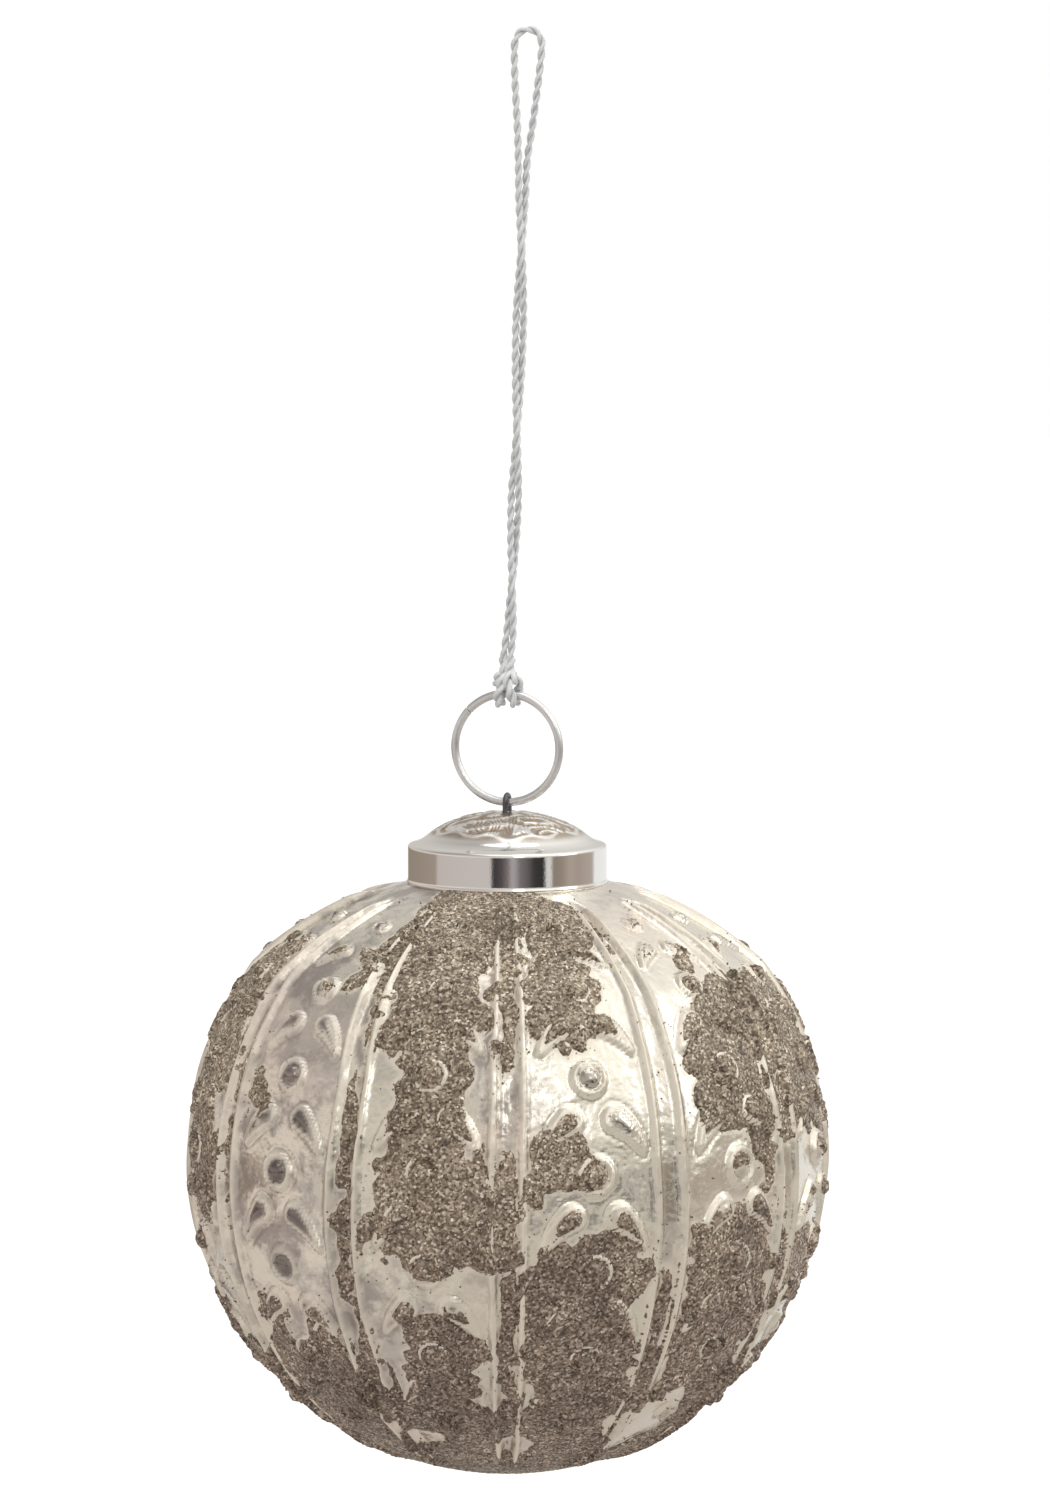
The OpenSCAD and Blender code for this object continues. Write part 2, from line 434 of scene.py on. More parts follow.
@dataclass(frozen=True)
class SilveredGlass:
    """Champagne glass over silver: rosy and smoky clouds, plum-brown pools that are partly painted shade, and
    cream outlines.
    """

    champagne: Colour = (0.83, 0.795, 0.705)
    rose: Colour = (0.93, 0.80, 0.735)
    smoke: Colour = (0.56, 0.51, 0.49)
    plum: Colour = (0.17, 0.14, 0.135)
    cream: Colour = (0.84, 0.78, 0.68)

    def material(self) -> bpy.types.Material:
        """The finish as a material."""
        tree = ShaderTree("silvered_glass")
        aged, line, pool, glue = (tree.attribute(name) for name in ("aged", "line", "pool", "glue"))
        clouds = tree.noise(55.0, 5.0, 0.62)
        specks = tree.noise(620.0, 4.0, 0.75)
        smoky = (clouds * 0.75 + specks * 0.25 + aged * 0.05).step(0.51, 0.63)
        stain = (tree.noise(110.0, 5.0, 0.7) + 0.1 * aged).step(0.56, 0.68)
        rosy = tree.noise(34.0, 3.0, 0.55).step(0.4, 0.58)
        colour = tree.mix(rosy * (0.1 + 0.6 * aged), self.champagne, self.rose)
        colour = tree.mix(smoky * (0.2 + 0.55 * aged), colour, self.smoke)
        colour = tree.mix(stain * (0.06 + 0.4 * aged), colour, self.plum)
        # Plum inside the beads and drops and along the rib channels: partly smoky silver, partly painted
        # shade of the hollows and of the domes' dark sides.
        colour = tree.mix((pool * (0.4 + 0.55 * aged)).clamped(), colour, self.plum)
        faded = tree.noise(260.0, 3.0, 0.6).step(0.3, 0.55)
        colour = tree.mix((line * (0.45 + 0.45 * faded)).clamped(), colour, self.cream)
        colour = tree.mix(glue * 0.8, colour, self.cream)
        waves = tree.noise(170.0, 3.0, 0.55) + tree.noise(1400.0, 2.0, 0.5) * 0.06
        rough = 0.25 + 0.1 * smoky + 0.12 * line + 0.25 * glue - 0.13 * pool
        return tree.finish(
            {
                "Base Color": colour,
                "Metallic": (0.9 - 0.45 * line - 0.5 * glue - 0.15 * smoky).clamped(),
                "Roughness": rough.clamped(0.05, 0.6),
                "Coat Weight": 0.35,
                "Coat Roughness": 0.06,
                "Normal": tree.bump(waves, 0.0012, 0.6),
            }
        )


@dataclass(frozen=True)
class GrainedCoat:
    """Coarse pewter grains: each grain has its own tone and gloss; the upper half is painted lighter and the
    lower half darker, as light from above would fall, with an olive and a plum tint.
    """

    grains_per_metre: float = 2900.0
    # Painted light above and painted shade below, each with a tint: olive and lighter on top, plum and darker
    # underneath.
    shaded_low_plum: Colour = (0.94, 0.885, 0.875)
    lit_top_olive: Colour = (1.16, 1.15, 1.08)
    shaded: Colour = (0.62, 0.61, 0.60)
    tones: Ramp = (
        (0.0, (0.10, 0.078, 0.062)), (0.35, (0.24, 0.195, 0.158)), (0.70, (0.43, 0.36, 0.295)),
        (0.90, (0.64, 0.57, 0.48)), (1.0, (0.90, 0.86, 0.78)),
    )

    def material(self) -> bpy.types.Material:
        """The finish as a material."""
        tree = ShaderTree("grained_coat")
        inputs = {"Vector": tree.object_place(), "Scale": self.grains_per_metre}
        cells = tree.node("ShaderNodeTexVoronoi", {}, inputs)["Color"]
        parts = tree.node("ShaderNodeSeparateColor", {}, {0: cells})
        tone = tree.node("ShaderNodeValToRGB", {"stops": self.tones}, {0: parts[0]})[0]
        shade = (tree.noise(70.0, 4.0, 0.6) * 0.7 + tree.noise(320.0, 3.0, 0.6) * 0.3).step(0.36, 0.64)
        # Painted light and shade by height: lighter and olive above the ball's middle, darker and plum below
        # it.
        height = tree.node("ShaderNodeSeparateXYZ", {}, {0: tree.object_place()})[2]
        tint_and_light = tree.mix(height.step(-0.2, -0.145), self.shaded_low_plum, self.lit_top_olive)
        tint_and_light = tree.mix(1.0, tint_and_light, tree.mix(shade, self.shaded, (1.0, 1.0, 1.0)), "MULTIPLY")
        colour = tree.mix(1.0, tone, tint_and_light, "MULTIPLY")
        return tree.finish(
            {
                "Base Color": colour,
                "Metallic": (0.08 + 0.34 * parts[1]).clamped(),
                "Roughness": (0.22 + 0.45 * parts[2]).clamped(),
            }
        )


@dataclass(frozen=True)
class MirrorCoat:
    """The silver coat inside the glass, with faint clouds."""

    silver: Colour = (0.86, 0.83, 0.78)
    clouded: Colour = (0.66, 0.62, 0.56)

    def material(self) -> bpy.types.Material:
        """The finish as a material."""
        tree = ShaderTree("mirror_coat")
        clouds = tree.noise(90.0, 5.0, 0.6).step(0.45, 0.7)
        return tree.finish(
            {
                "Base Color": tree.mix(clouds * 0.7, self.silver, self.clouded),
                "Metallic": 1.0,
                "Roughness": (0.12 + 0.25 * clouds).clamped(),
            }
        )


@dataclass(frozen=True)
class PlatedCap:
    """Bright plate, dulled and brown in the folds of the stamping."""

    plate: Colour = (0.86, 0.845, 0.825)
    tarnish: Colour = (0.36, 0.28, 0.20)

    def material(self) -> bpy.types.Material:
        """The finish as a material."""
        tree = ShaderTree("plated_cap")
        relief = tree.attribute("relief")
        fold = (0.0 - relief).step(-0.1, 0.2)
        stamped = tree.attribute("stamped")
        wear = tree.noise(420.0, 5.0, 0.7).step(0.45, 0.75)
        dull = (fold * stamped * 0.8 + wear * stamped * 0.25).clamped()
        brushed = tree.noise(2600.0, 2.0, 0.6)
        return tree.finish(
            {
                "Base Color": tree.mix(dull, self.plate, self.tarnish),
                "Metallic": 1.0,
                "Roughness": (0.075 + 0.2 * stamped + 0.12 * dull + 0.03 * wear).clamped(0.03, 0.6),
                "Normal": tree.bump(brushed, 0.00002, 0.35),
            }
        )


@dataclass(frozen=True)
class WireFinish:
    """Drawn wire: fine dull spots over an even metal."""

    name: str
    metal: Colour
    spot: Colour
    roughness: float

    def material(self) -> bpy.types.Material:
        """The finish as a material."""
        tree = ShaderTree(self.name)
        spots = tree.noise(1300.0, 4.0, 0.65).step(0.42, 0.7)
        broad = tree.noise(160.0, 3.0, 0.5).step(0.35, 0.7)
        drawn = tree.noise(3800.0, 2.0, 0.6)
        return tree.finish(
            {
                "Base Color": tree.mix((spots * 0.6 + broad * 0.3).clamped(), self.metal, self.spot),
                "Metallic": 1.0,
                "Roughness": (self.roughness + 0.12 * spots + 0.05 * broad).clamped(),
                "Normal": tree.bump(drawn, 0.00002, 0.4),
            }
        )


@dataclass(frozen=True)
class FoilThread:
    """Twisted foil threads with light and shade painted on: lighter ridges, painted shade in the folds and
    grooves, and small painted glints.
    """

    lit_foil: Colour = (0.95, 0.98, 1.0)
    shaded_foil: Colour = (0.53, 0.575, 0.64)
    wraps_per_mm: float = 9.0
    starts: float = 5.0

    def material(self) -> bpy.types.Material:
        """The finish as a material."""
        tree = ShaderTree("foil_thread")
        along = tree.attribute("along")
        around = tree.attribute("around")
        phase = (along * self.wraps_per_mm + around * self.starts) * (2 * np.pi)
        wave = tree.node("ShaderNodeMath", {"operation": "SINE"}, {0: phase})[0]
        thread = (wave * 0.5 + 0.5).clamped()
        glints = tree.noise(2600.0, 3.0, 0.7).step(0.4, 0.66)
        # Painted light and shade: the folds between the strands and the grooves between the threads are
        # painted grey, and random glints are painted bright.
        fold_shade = tree.attribute("fold")
        painted_dark = (0.5 * fold_shade + 0.14 * (1.0 - thread) + 0.2 * (1.0 - glints)).clamped()
        return tree.finish(
            {
                "Base Color": tree.mix(painted_dark, self.lit_foil, self.shaded_foil),
                "Metallic": 0.12,
                "Roughness": (0.30 + 0.25 * glints).clamped(),
                "Normal": tree.bump(thread * 0.7 + glints * 0.3, 0.00006, 0.8),
            }
        )


SATIN_NICKEL = WireFinish("satin_nickel", (0.79, 0.80, 0.82), (0.69, 0.70, 0.72), 0.27)
SPRING_STEEL = WireFinish("spring_steel", (0.17, 0.17, 0.175), (0.07, 0.07, 0.075), 0.30)


class Slot(Enum):
    """Names of the record's finishes."""

    GLASS = "blown_glass"
    SILVER = "silver_coat"
    GRAINS = "glass_grains"
    CAP = "plated_cap"
    STEEL = "spring_wire"
    NICKEL = "satin_nickel"
    CORD = "lurex_cord"


def dress(piece: bpy.types.Object, body: str, slot: Slot, material: bpy.types.Material) -> None:
    """Gives a piece its finish and the body that it moves with, and logs the record's finish that it shows.

    Args:
        piece: The finished object.
        body: Name of the body, or nothing for a piece that bends between two.
        slot: The record's finish that it shows.
        material: The material that it wears.
    """
    piece.data.materials.clear()
    piece.data.materials.append(material)
    if body:
        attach(piece, body)
    LOG.info("%s: %d faces, finish %s", piece.name, len(piece.data.polygons), slot.value)


# ---------------------------------------------------------------------------------------------
# The cord and its hitch
# ---------------------------------------------------------------------------------------------


@dataclass
class TwistedCord:
    """The doubled hanging cord, two strands twisted, and the hitch that holds the ring."""

    diameter: float = 1.1
    strand_radius: float = 0.33
    strand_offset: float = 0.28
    lay_length: float = 4.3
    wire_z: float = -103.5
    turn_radius: float = 1.5
    hitch_scale: float = 1.36
    route: Tuple[Place, ...] = (
        (-2.9, 0.1, -98.5), (-2.9, 0.1, -97), (-2.5, 0, -94), (-2.4, -0.4, -89), (-2.6, -0.6, -84),
        (-2.8, -0.4, -78), (-2.8, 0, -72), (-2.4, 0.4, -66), (-1.8, 0.6, -59), (-1.2, 0.4, -52),
        (-0.8, 0, -44), (-0.8, -0.4, -37), (-1.1, -0.6, -31), (-1.4, -0.5, -25), (-1.5, -0.4, -20),
        (-1.7, -0.4, -14), (-2, -0.5, -8), (-2.1, -0.6, -3.5), (-2, -0.6, -1.4), (-1.3, -0.4, 0.1),
        (0, 0, 0.6), (1.3, 0.4, 0.1), (2, 0.6, -1.4), (1.9, 0.6, -3.5), (1.4, 0.5, -8),
        (0.6, 0.4, -14), (-0.3, 0.3, -20), (-0.6, 0.5, -25), (-1.1, 0.6, -31), (-1.6, 0.4, -37),
        (-2, 0, -44), (-2, -0.4, -52), (-1.8, -0.6, -59), (-1.6, -0.4, -66), (-1.6, 0, -72),
        (-2, 0.4, -78), (-2.6, 0.6, -84), (-3.2, 0.4, -89), (-3.6, 0, -94), (-4, -0.1, -97),
        (-4, -0.1, -98.5),
    )

    def hitch_route(self) -> np.ndarray:
        """The hitch's middle line from the ring wire's top: down in front, round and across behind."""
        r = self.turn_radius
        half = [
            (0.6, 0.1, 5.6), (0.55, 0.1, 4.6), (0.42, -0.35, 3.6), (0.4, -1.1, 2.6),
            (0.6, -1.5, 1.5), (1.0, -r, 0.3), (1.2, -0.71 * r, -0.71 * r), (1.25, 0.0, -r),
            (1.28, 0.71 * r, -0.71 * r), (1.35, r, 0.1), (1.6, 1.2, 1.1), (1.8, 0.3, 1.8),
            (1.6, -0.6, 2.4), (1.1, -0.5, 3.0), (0.6, 0.6, 2.9),
        ]
        left = [(-0.92 * x - 0.04, y, 0.96 * z - 0.1) for x, y, z in half]
        left[0] = (-0.5, -0.1, 5.6)
        left[1] = (-0.5, -0.1, 4.6)
        points = np.array(half + [(0.0, 1.1, 2.4)] + left[::-1])
        return points + np.array([AXIS_X, 0.0, self.wire_z])

    def strands(self, path: np.ndarray, side: Sequence[float], sides: int, scale: float = 1.0) -> Skin:
        """Two strands round a path: its points plus an offset that turns once in each lay length.

        Args:
            path: The middle line, with even steps.
            side: A direction that the first side axis leans to.
            sides: Points round each strand.
            scale: Thickness of the strands and of their offset, against the cord's.

        Returns:
            Both strands, with how far along and around its strand each point is, and how deep in the
            fold between the two, where the foil's finish paints shade.
        """
        u, v, _ = carried_frames(path, side)
        along = np.concatenate([[0.0], np.cumsum(np.linalg.norm(np.diff(path, axis=0), axis=1))])
        made = []
        for start in (0.0, np.pi):
            angle = (2 * np.pi * along / self.lay_length + start)[:, None]
            out = u * np.cos(angle) + v * np.sin(angle)
            middle = path + scale * self.strand_offset * out
            skin = tube(middle, scale * self.strand_radius, sides, side)
            rings = skin.points[: len(path) * sides].reshape(len(path), sides, 3)
            outward = ((rings - middle[:, None]) * out[:, None]).sum(-1) / (scale * self.strand_radius)
            # How deep in the fold between the strands; the foil's finish paints shade there.
            fold = np.concatenate([(0.5 - 0.5 * outward).ravel(), [0.5, 0.5]])
            place = np.concatenate([np.repeat(along, sides), [0.0, along[-1]]])
            turn = np.concatenate([np.tile(np.arange(sides) / sides, len(path)), [0.0, 0.0]])
            skin.numbers = {"fold": fold, "along": place, "around": turn}
            made.append(skin)
        return joined(made)

    def build(self) -> None:
        """Makes the cord and the hitch and dresses them."""
        foil = FoilThread().material()
        middle = evenly(spline(np.array(self.route), 12), 0.3)
        cord = self.strands(middle, (1.0, 0.0, 0.0), 10).build("cord_loop_twisted")
        hitch_path = evenly(spline(self.hitch_route(), 12), 0.16)
        hitch = self.strands(hitch_path, (1.0, 0.0, 0.0), 12, self.hitch_scale).build("cord_hitch")
        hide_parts("cord_knot")
        dress(hitch, "knot", Slot.CORD, foil)
        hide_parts("cord_loop")
        dress(cord, "", Slot.CORD, foil)
        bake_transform(cord)


# ---------------------------------------------------------------------------------------------
# Ring and staple
# ---------------------------------------------------------------------------------------------


@dataclass
class HangerRing:
    """A ring of round wire with a hairline joint."""

    centre_z: float = -112.1
    radius: float = 8.6
    wire: float = 1.3
    sides: int = 28
    joint_at: float = 137.0
    joint: float = 0.15
    bevel: float = 0.06
    stations: int = 260

    def build(self) -> None:
        """Makes the ring: an upright circle from one side of the joint to the other, its ends bevelled."""
        half = np.degrees(0.5 * self.joint / self.radius)
        start = np.radians(self.joint_at + half)
        stop = np.radians(self.joint_at + 360.0 - half)
        angle = np.linspace(start, stop, self.stations)
        x = AXIS_X + self.radius * np.cos(angle)
        z = self.centre_z + self.radius * np.sin(angle)
        path = np.stack([x, np.zeros_like(x), z], -1)
        path = np.concatenate([path[:1], path[:1], path, path[-1:], path[-1:]])
        radius = np.full(len(path), self.wire / 2)
        radius[[0, -1]] *= 0.001
        radius[[1, -2]] = self.wire / 2 - self.bevel
        path[2] += unit(path[3] - path[2]) * self.bevel
        path[-3] += unit(path[-4] - path[-3]) * self.bevel
        ring = self._turned(path, radius).build("hanger_ring_wire")
        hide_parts("hanger_ring")
        dress(ring, "ring", Slot.NICKEL, SATIN_NICKEL.material())

    def _turned(self, path: np.ndarray, radius: np.ndarray) -> Skin:
        """The wire round the path, its side axes square to the ring's plane and pointing outwards."""
        centre = np.array([AXIS_X, 0.0, self.centre_z])
        out = unit(path - centre)
        across = np.array([0.0, 1.0, 0.0])
        angle = (2 * np.pi * np.arange(self.sides) / self.sides)[None, :, None]
        size = radius[:, None, None]
        rings = path[:, None] + size * (out[:, None] * np.cos(angle) + across * -np.sin(angle))
        return capped_rings(rings, path[0], path[-1])


@dataclass
class Staple:
    """The bent spring wire: an eye over the cap and two prongs splayed inside the neck."""

    eye_z: float = -120.7
    eye_radius: float = 1.15
    wire: float = 0.8
    knee_z: float = -124.1
    knee_rise: float = 0.5
    knee_share: float = 0.04
    tip_y: float = 12.7
    tip_z: float = -137.5
    step: float = 0.22

    def build(self) -> None:
        """Makes the wire: up a prong, round its knee, over the eye's half circle, and the same back."""
        arch = np.radians(np.linspace(0.0, 180.0, 25))
        leg_z = self.knee_z + self.knee_rise
        y = np.concatenate([[self.eye_radius], self.eye_radius * np.cos(arch), [-self.eye_radius]])
        z = np.concatenate([[leg_z], self.eye_z + self.eye_radius * np.sin(arch), [leg_z]])
        corner = np.array([self.eye_radius, self.knee_z])
        reach = np.array([self.tip_y, self.tip_z]) - corner
        bend = curved_corner(corner + reach * self.knee_share, corner, np.array([self.eye_radius, leg_z]), 9)
        prong = corner + reach * np.linspace(1.0, self.knee_share, 24)[:-1, None]
        right = np.concatenate([prong, bend[:-1]])
        left = right[::-1] * np.array([-1.0, 1.0])
        flat = np.concatenate([right, np.stack([y, z], -1), left])
        path = np.stack([np.full(len(flat), AXIS_X), flat[:, 0], flat[:, 1]], -1)
        path = evenly(path, self.step)
        radius = np.full(len(path), self.wire / 2)
        radius[[0, -1]] *= 0.55
        radius[[1, -2]] *= 0.9
        staple = tube(path, radius, 16, (1.0, 0.0, 0.0)).build("staple_wire")
        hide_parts("staple_prongs")
        dress(staple, "cap", Slot.STEEL, SPRING_STEEL.material())


# ---------------------------------------------------------------------------------------------
# The cap
# ---------------------------------------------------------------------------------------------


@dataclass
class StampedCap:
    """A thin plated cap: scrolls stamped on its dome, a plain band and a rolled lip."""

    radius: float = 15.9
    band_top_z: float = -127.3
    low_z: float = -133.5
    sheet: float = 0.4
    lip: float = 0.36
    leg_y: float = 1.15
    hole: float = 0.6
    columns: int = 360
    row_step: float = 0.22
    stamping: float = 0.27
    pit_depth: float = 0.3
    clearance: float = 0.55
    dome: Tuple[Tuple[float, float], ...] = (
        (15.76, -0.34), (15.68, -0.16), (15.5, -0.02), (15.24, 0.08), (14.8, 0.2), (14.2, 0.42),
        (13.4, 0.86), (12.6, 1.46), (11.4, 2.28), (10.0, 3.02), (8.4, 3.7), (6.8, 4.24), (5.0, 4.68),
        (3.2, 4.98), (1.6, 5.14), (0.25, 5.2),
    )

    def profile(self) -> np.ndarray:
        """The outside from the lip up: an arc, the upright band, and a spline over the dome.

        Returns:
            Radius and height at even steps. The dome's heights count from the band's top.
        """
        turn = np.radians(np.linspace(-88.0, 50.0, 9))
        lip_r = self.radius - self.lip + 0.06 + self.lip * np.cos(turn)
        lip_z = self.low_z + self.lip + self.lip * np.sin(turn)
        lip = np.stack([lip_r, lip_z], -1)
        band_z = np.linspace(self.low_z + 0.82, self.band_top_z - 0.62, 12)
        band = np.stack([np.full_like(band_z, self.radius - 0.12), band_z], -1)
        dome = np.array(self.dome) + np.array([0.0, self.band_top_z])
        rough = np.concatenate([lip, band, dome])
        flat = np.concatenate([rough, np.zeros((len(rough), 1))], 1)
        return evenly(spline(flat, 6), self.row_step)[:, :2]

    def scrolls(self, radii: np.ndarray, turns: np.ndarray) -> np.ndarray:
        """The stamped relief: curling scrolls, a lobed border and a small rosette.

        Args:
            radii: Distance from the axis.
            turns: Degrees round it.

        Returns:
            Heights from -1 to 1: waves along the level lines of smooth noise, a wavy ring, and petals.
        """
        angle = np.radians(turns)
        places = np.stack(np.broadcast_arrays(radii * np.cos(angle), radii * np.sin(angle), 0.0), -1)
        curls = np.cos(5.2 * Ripple(51, 7.5)(places) + 0.5 * np.sin(9 * angle))
        veins = np.cos(9.0 * Ripple(52, 6.0)(places))
        border_r = 11.3 + 0.45 * np.cos(11 * angle + 1.2) + 0.25 * np.sin(4 * angle)
        border = np.exp(-((radii - border_r) / 0.4) ** 2)
        petals = (0.5 + 0.5 * np.cos(7 * angle)) * np.exp(-((radii - 3.4) / 1.0) ** 2)
        body = (0.5 * curls + 0.22 * veins) * eased(radii, 3.4, 5.2) * (1 - eased(radii, 10.4, 11.2))
        return body + 0.4 * border + 0.7 * petals - 0.25

    def pits(self, radii: np.ndarray, turns: np.ndarray) -> np.ndarray:
        """The dents at the staple's two holes: exp(-(distance / hole)^6) from the nearer one."""
        angle = np.radians(turns)
        x = radii * np.cos(angle)
        y = radii * np.sin(angle)
        near = np.minimum(np.hypot(x, y - self.leg_y), np.hypot(x, y + self.leg_y))
        return np.exp(-((near / self.hole) ** 6))

    def inside(self, outside: np.ndarray, normal: np.ndarray, stamped: np.ndarray) -> np.ndarray:
        """The inner side of the sheet, from the dome's top down to the lip.

        Args:
            outside: Radius and height of each outside ring.
            normal: Outward direction in those two.
            stamped: How much of the stamping each has.

        Returns:
            Radius and height of every fourth ring, one sheet further in and clear of the stamping.
        """
        r = outside[:, 0] - self.sheet * np.maximum(normal[:, 0], 0.0) - 0.1
        z = outside[:, 1] - self.sheet * np.maximum(normal[:, 1], 0.0) - self.clearance * stamped
        r = np.where(outside[:, 1] < self.low_z + 1.1, self.radius - 0.14 - self.sheet, np.maximum(r, 0.2))
        return np.stack([r, np.maximum(z, self.low_z + 0.02)], -1)[::-4]

    def build(self) -> None:
        """Makes the cap as one closed sheet: outside up to the top, inside back down to the lip."""
        outside = self.profile()
        run = np.gradient(outside, axis=0)
        normal = unit(np.stack([run[:, 1], -run[:, 0]], -1))
        turns = np.arange(self.columns) * 360.0 / self.columns
        r, z = outside[:, :1], outside[:, 1:]
        rise = z - self.band_top_z
        stamped = eased(rise, 1.2, 2.3) * (1 - eased(-r, -2.4, -1.6))
        height = self.scrolls(r, turns[None]) * stamped
        lift = self.stamping * height - self.pit_depth * self.pits(r, turns) * eased(rise, 3.0, 4.0)
        outer = round_turns(r + lift * normal[:, :1], z + lift * normal[:, 1:], turns[None])
        inner = self.inside(outside, normal, stamped[:, 0])
        inner = round_turns(inner[:, :1], inner[:, 1:], turns[None])
        rings = np.concatenate([outer, inner])
        piece = self._shell(rings, height, stamped, len(inner)).build("cap_stamped")
        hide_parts("cap_shell")
        dress(piece, "cap", Slot.CAP, PlatedCap().material())

    def _shell(self, rings: np.ndarray, height: np.ndarray, stamped: np.ndarray, inner_rows: int) -> Skin:
        """Joins the sheet's two sides at the lip and closes the middle of each with a fan.

        Args:
            rings: Outside rings from lip to top, then inside rings from top to lip.
            height: The stamped relief of the outside rings.
            stamped: How much of the stamping each outside ring has.
            inner_rows: Number of inside rings.

        Returns:
            The closed skin with its relief and its stamped share.
        """
        cols = self.columns
        outer_rows = len(rings) - inner_rows
        order = np.concatenate([rings[outer_rows:], rings[:outer_rows]])
        top_in = np.array([AXIS_X, 0.0, rings[outer_rows, 0, 2]])
        top_out = np.array([AXIS_X, 0.0, rings[outer_rows - 1, 0, 2] + 0.02])
        skin = capped_rings(order, top_in, top_out)
        blank = np.zeros(inner_rows * cols)
        share = np.broadcast_to(stamped, height.shape).ravel()
        skin.numbers = {
            "relief": np.concatenate([blank, height.ravel(), [0.0, 0.0]]),
            "stamped": np.concatenate([blank, share, [0.0, 0.0]]),
        }
        return skin


# ---------------------------------------------------------------------------------------------
# The ball
# ---------------------------------------------------------------------------------------------


@dataclass(frozen=True)
class MouldPattern:
    """The relief that the mould gives the glass: pairs of ribs with beads and drops between them."""

    rib_every: float = 30.0
    rib_half_gap: float = 2.7
    rib_height: float = 1.0
    rib_width: float = 0.52
    bead_latitudes: Tuple[float, ...] = (55.0, 38.0, 21.5, 4.5, -12.5, -29.5, -46.5)
    drop_latitudes: Tuple[float, ...] = (46.5, 30.0, 13.0, -4.0, -21.0, -38.0)

    def ribs(self, turn: np.ndarray, lat: np.ndarray, wander: np.ndarray) -> np.ndarray:
        """Two ridges beside each rib's middle line: h exp(-((|x| - gap) / width)^2), fading to the poles."""
        off = (turn + self.rib_every / 2) % self.rib_every - self.rib_every / 2
        shrink = np.cos(np.radians(lat))
        x = off * MM_PER_DEGREE * shrink + 0.16 * wander
        gap = self.rib_half_gap * MM_PER_DEGREE * shrink
        ridge = np.exp(-(((np.abs(x) - gap) / self.rib_width) ** 2))
        channel = np.exp(-((x / (0.62 * gap + 0.05)) ** 4))
        fade = eased(lat, -72.0, -60.0) * (1 - eased(lat, 58.0, 67.0))
        return fade * (self.rib_height * (1 + 0.12 * wander) * ridge - 0.24 * channel)

    @staticmethod
    def bead(x: np.ndarray, y: np.ndarray, size: float) -> np.ndarray:
        """A round knob inside a ring, both on a low swelling, from the distance to its middle.

        Args:
            x: Distance right of its middle.
            y: Distance above it.
            size: Scale of the bead.

        Returns:
            Its height, the share of the outline and the share of the pool inside it, stacked.
        """
        away = np.hypot(x, y) / size
        line = np.exp(-(((away - 2.45) / 0.42) ** 2))
        knob = 0.85 * np.clip(1 - (away / 1.65) ** 2, 0, 1) ** 0.7
        folds = 0.26 * np.exp(-(((away - 1.8) / 0.26) ** 2)) + 0.18 * np.exp(-(((away - 3.2) / 0.35) ** 2))
        swell = 0.45 * np.exp(-((away / 3.0) ** 4))
        pool = 1 / (1 + np.exp(np.clip((away - 1.9) / 0.12, -30, 30)))
        return np.stack([(0.6 * line + knob + swell - folds) * size**0.5, line, pool])

    @staticmethod
    def drop(x: np.ndarray, y: np.ndarray, side: float, size: float) -> np.ndarray:
        """A rounded drop in an outline, slanting down and outwards.

        Args:
            x: Distance from the middle line of the panel.
            y: Distance up from the drop's latitude.
            side: 1 for the right drop, -1 for the left.
            size: Scale of the drop.

        Returns:
            Its height, the share of the outline and the share of the pool inside it, stacked, from the
            distance to a bowed line less a radius that shrinks along it.
        """
        head = (side * 3.7, 1.0)
        tail = (side * 8.0, -3.8)
        run = (tail[0] - head[0], tail[1] - head[1])
        px = x / size - head[0]
        py = y / size - head[1]
        share = np.clip((px * run[0] + py * run[1]) / (run[0] ** 2 + run[1] ** 2), 0, 1)
        px = px - 0.55 * side * np.sin(np.pi * share)
        edge = np.hypot(px - share * run[0], py - share * run[1]) - (0.25 + 1.55 * (1 - share) ** 0.85)
        line = np.exp(-((edge / 0.38) ** 2))
        dome = 0.75 * np.clip(-(edge + 0.25) / 1.3, 0, 1) ** 0.6
        folds = 0.2 * np.exp(-(((edge - 0.85) / 0.35) ** 2)) + 0.15 * np.exp(-(((edge + 0.5) / 0.2) ** 2))
        swell = 0.3 / (1 + np.exp(np.clip((edge - 0.1) / 0.3, -30, 30)))
        pool = 1 / (1 + np.exp(np.clip((edge + 0.45) / 0.12, -30, 30)))
        return np.stack([(0.55 * line + dome + swell - folds) * size**0.5, line, pool])

    def drops(self, x: np.ndarray, y: np.ndarray, size: float) -> np.ndarray:
        """A drop on each side of the panel's middle line."""
        return self.drop(x, y, 1.0, size) + self.drop(x, y, -1.0, size)

    def height(self, turn: np.ndarray, lat: np.ndarray, points: np.ndarray) -> np.ndarray:
        """The whole relief in millimetres, with the outlines and pools of its motifs.

        Args:
            turn: Degrees round from the front rib.
            lat: Latitudes in degrees.
            points: The same places in space, for the unevenness of hand work.

        Returns:
            Height, outline and pool, stacked: the sums over the ribs, the beads and the drops.
        """
        wander = np.clip(Ripple(11, 21.0)(points), -1.6, 1.6)
        panel = np.floor(turn / self.rib_every)
        off = turn - (panel + 0.5) * self.rib_every
        shift = 1.3 * np.sin(panel * 2.4 + 0.6)
        ribs = self.ribs(turn, lat, wander)
        # The pool share also covers the rib channels, where the glass paints shade and grains gather.
        total = np.stack([ribs, eased(ribs, 0.4, 0.85), 0.45 * eased(-ribs, 0.1, 0.24)])
        uneven = 1 + 0.1 * wander
        motifs = ((self.bead, self.bead_latitudes, 1.1, 1.06), (self.drops, self.drop_latitudes, 0.9, 1.0))
        for motif, middles, taper, scale in motifs:
            for middle in middles:
                shrink = float(np.cos(np.radians(middle)))
                y = (lat - middle - shift) * MM_PER_DEGREE
                x = (off - 0.5) * MM_PER_DEGREE * shrink
                total = total + motif(x, y, shrink**taper * scale) * uneven
        return total


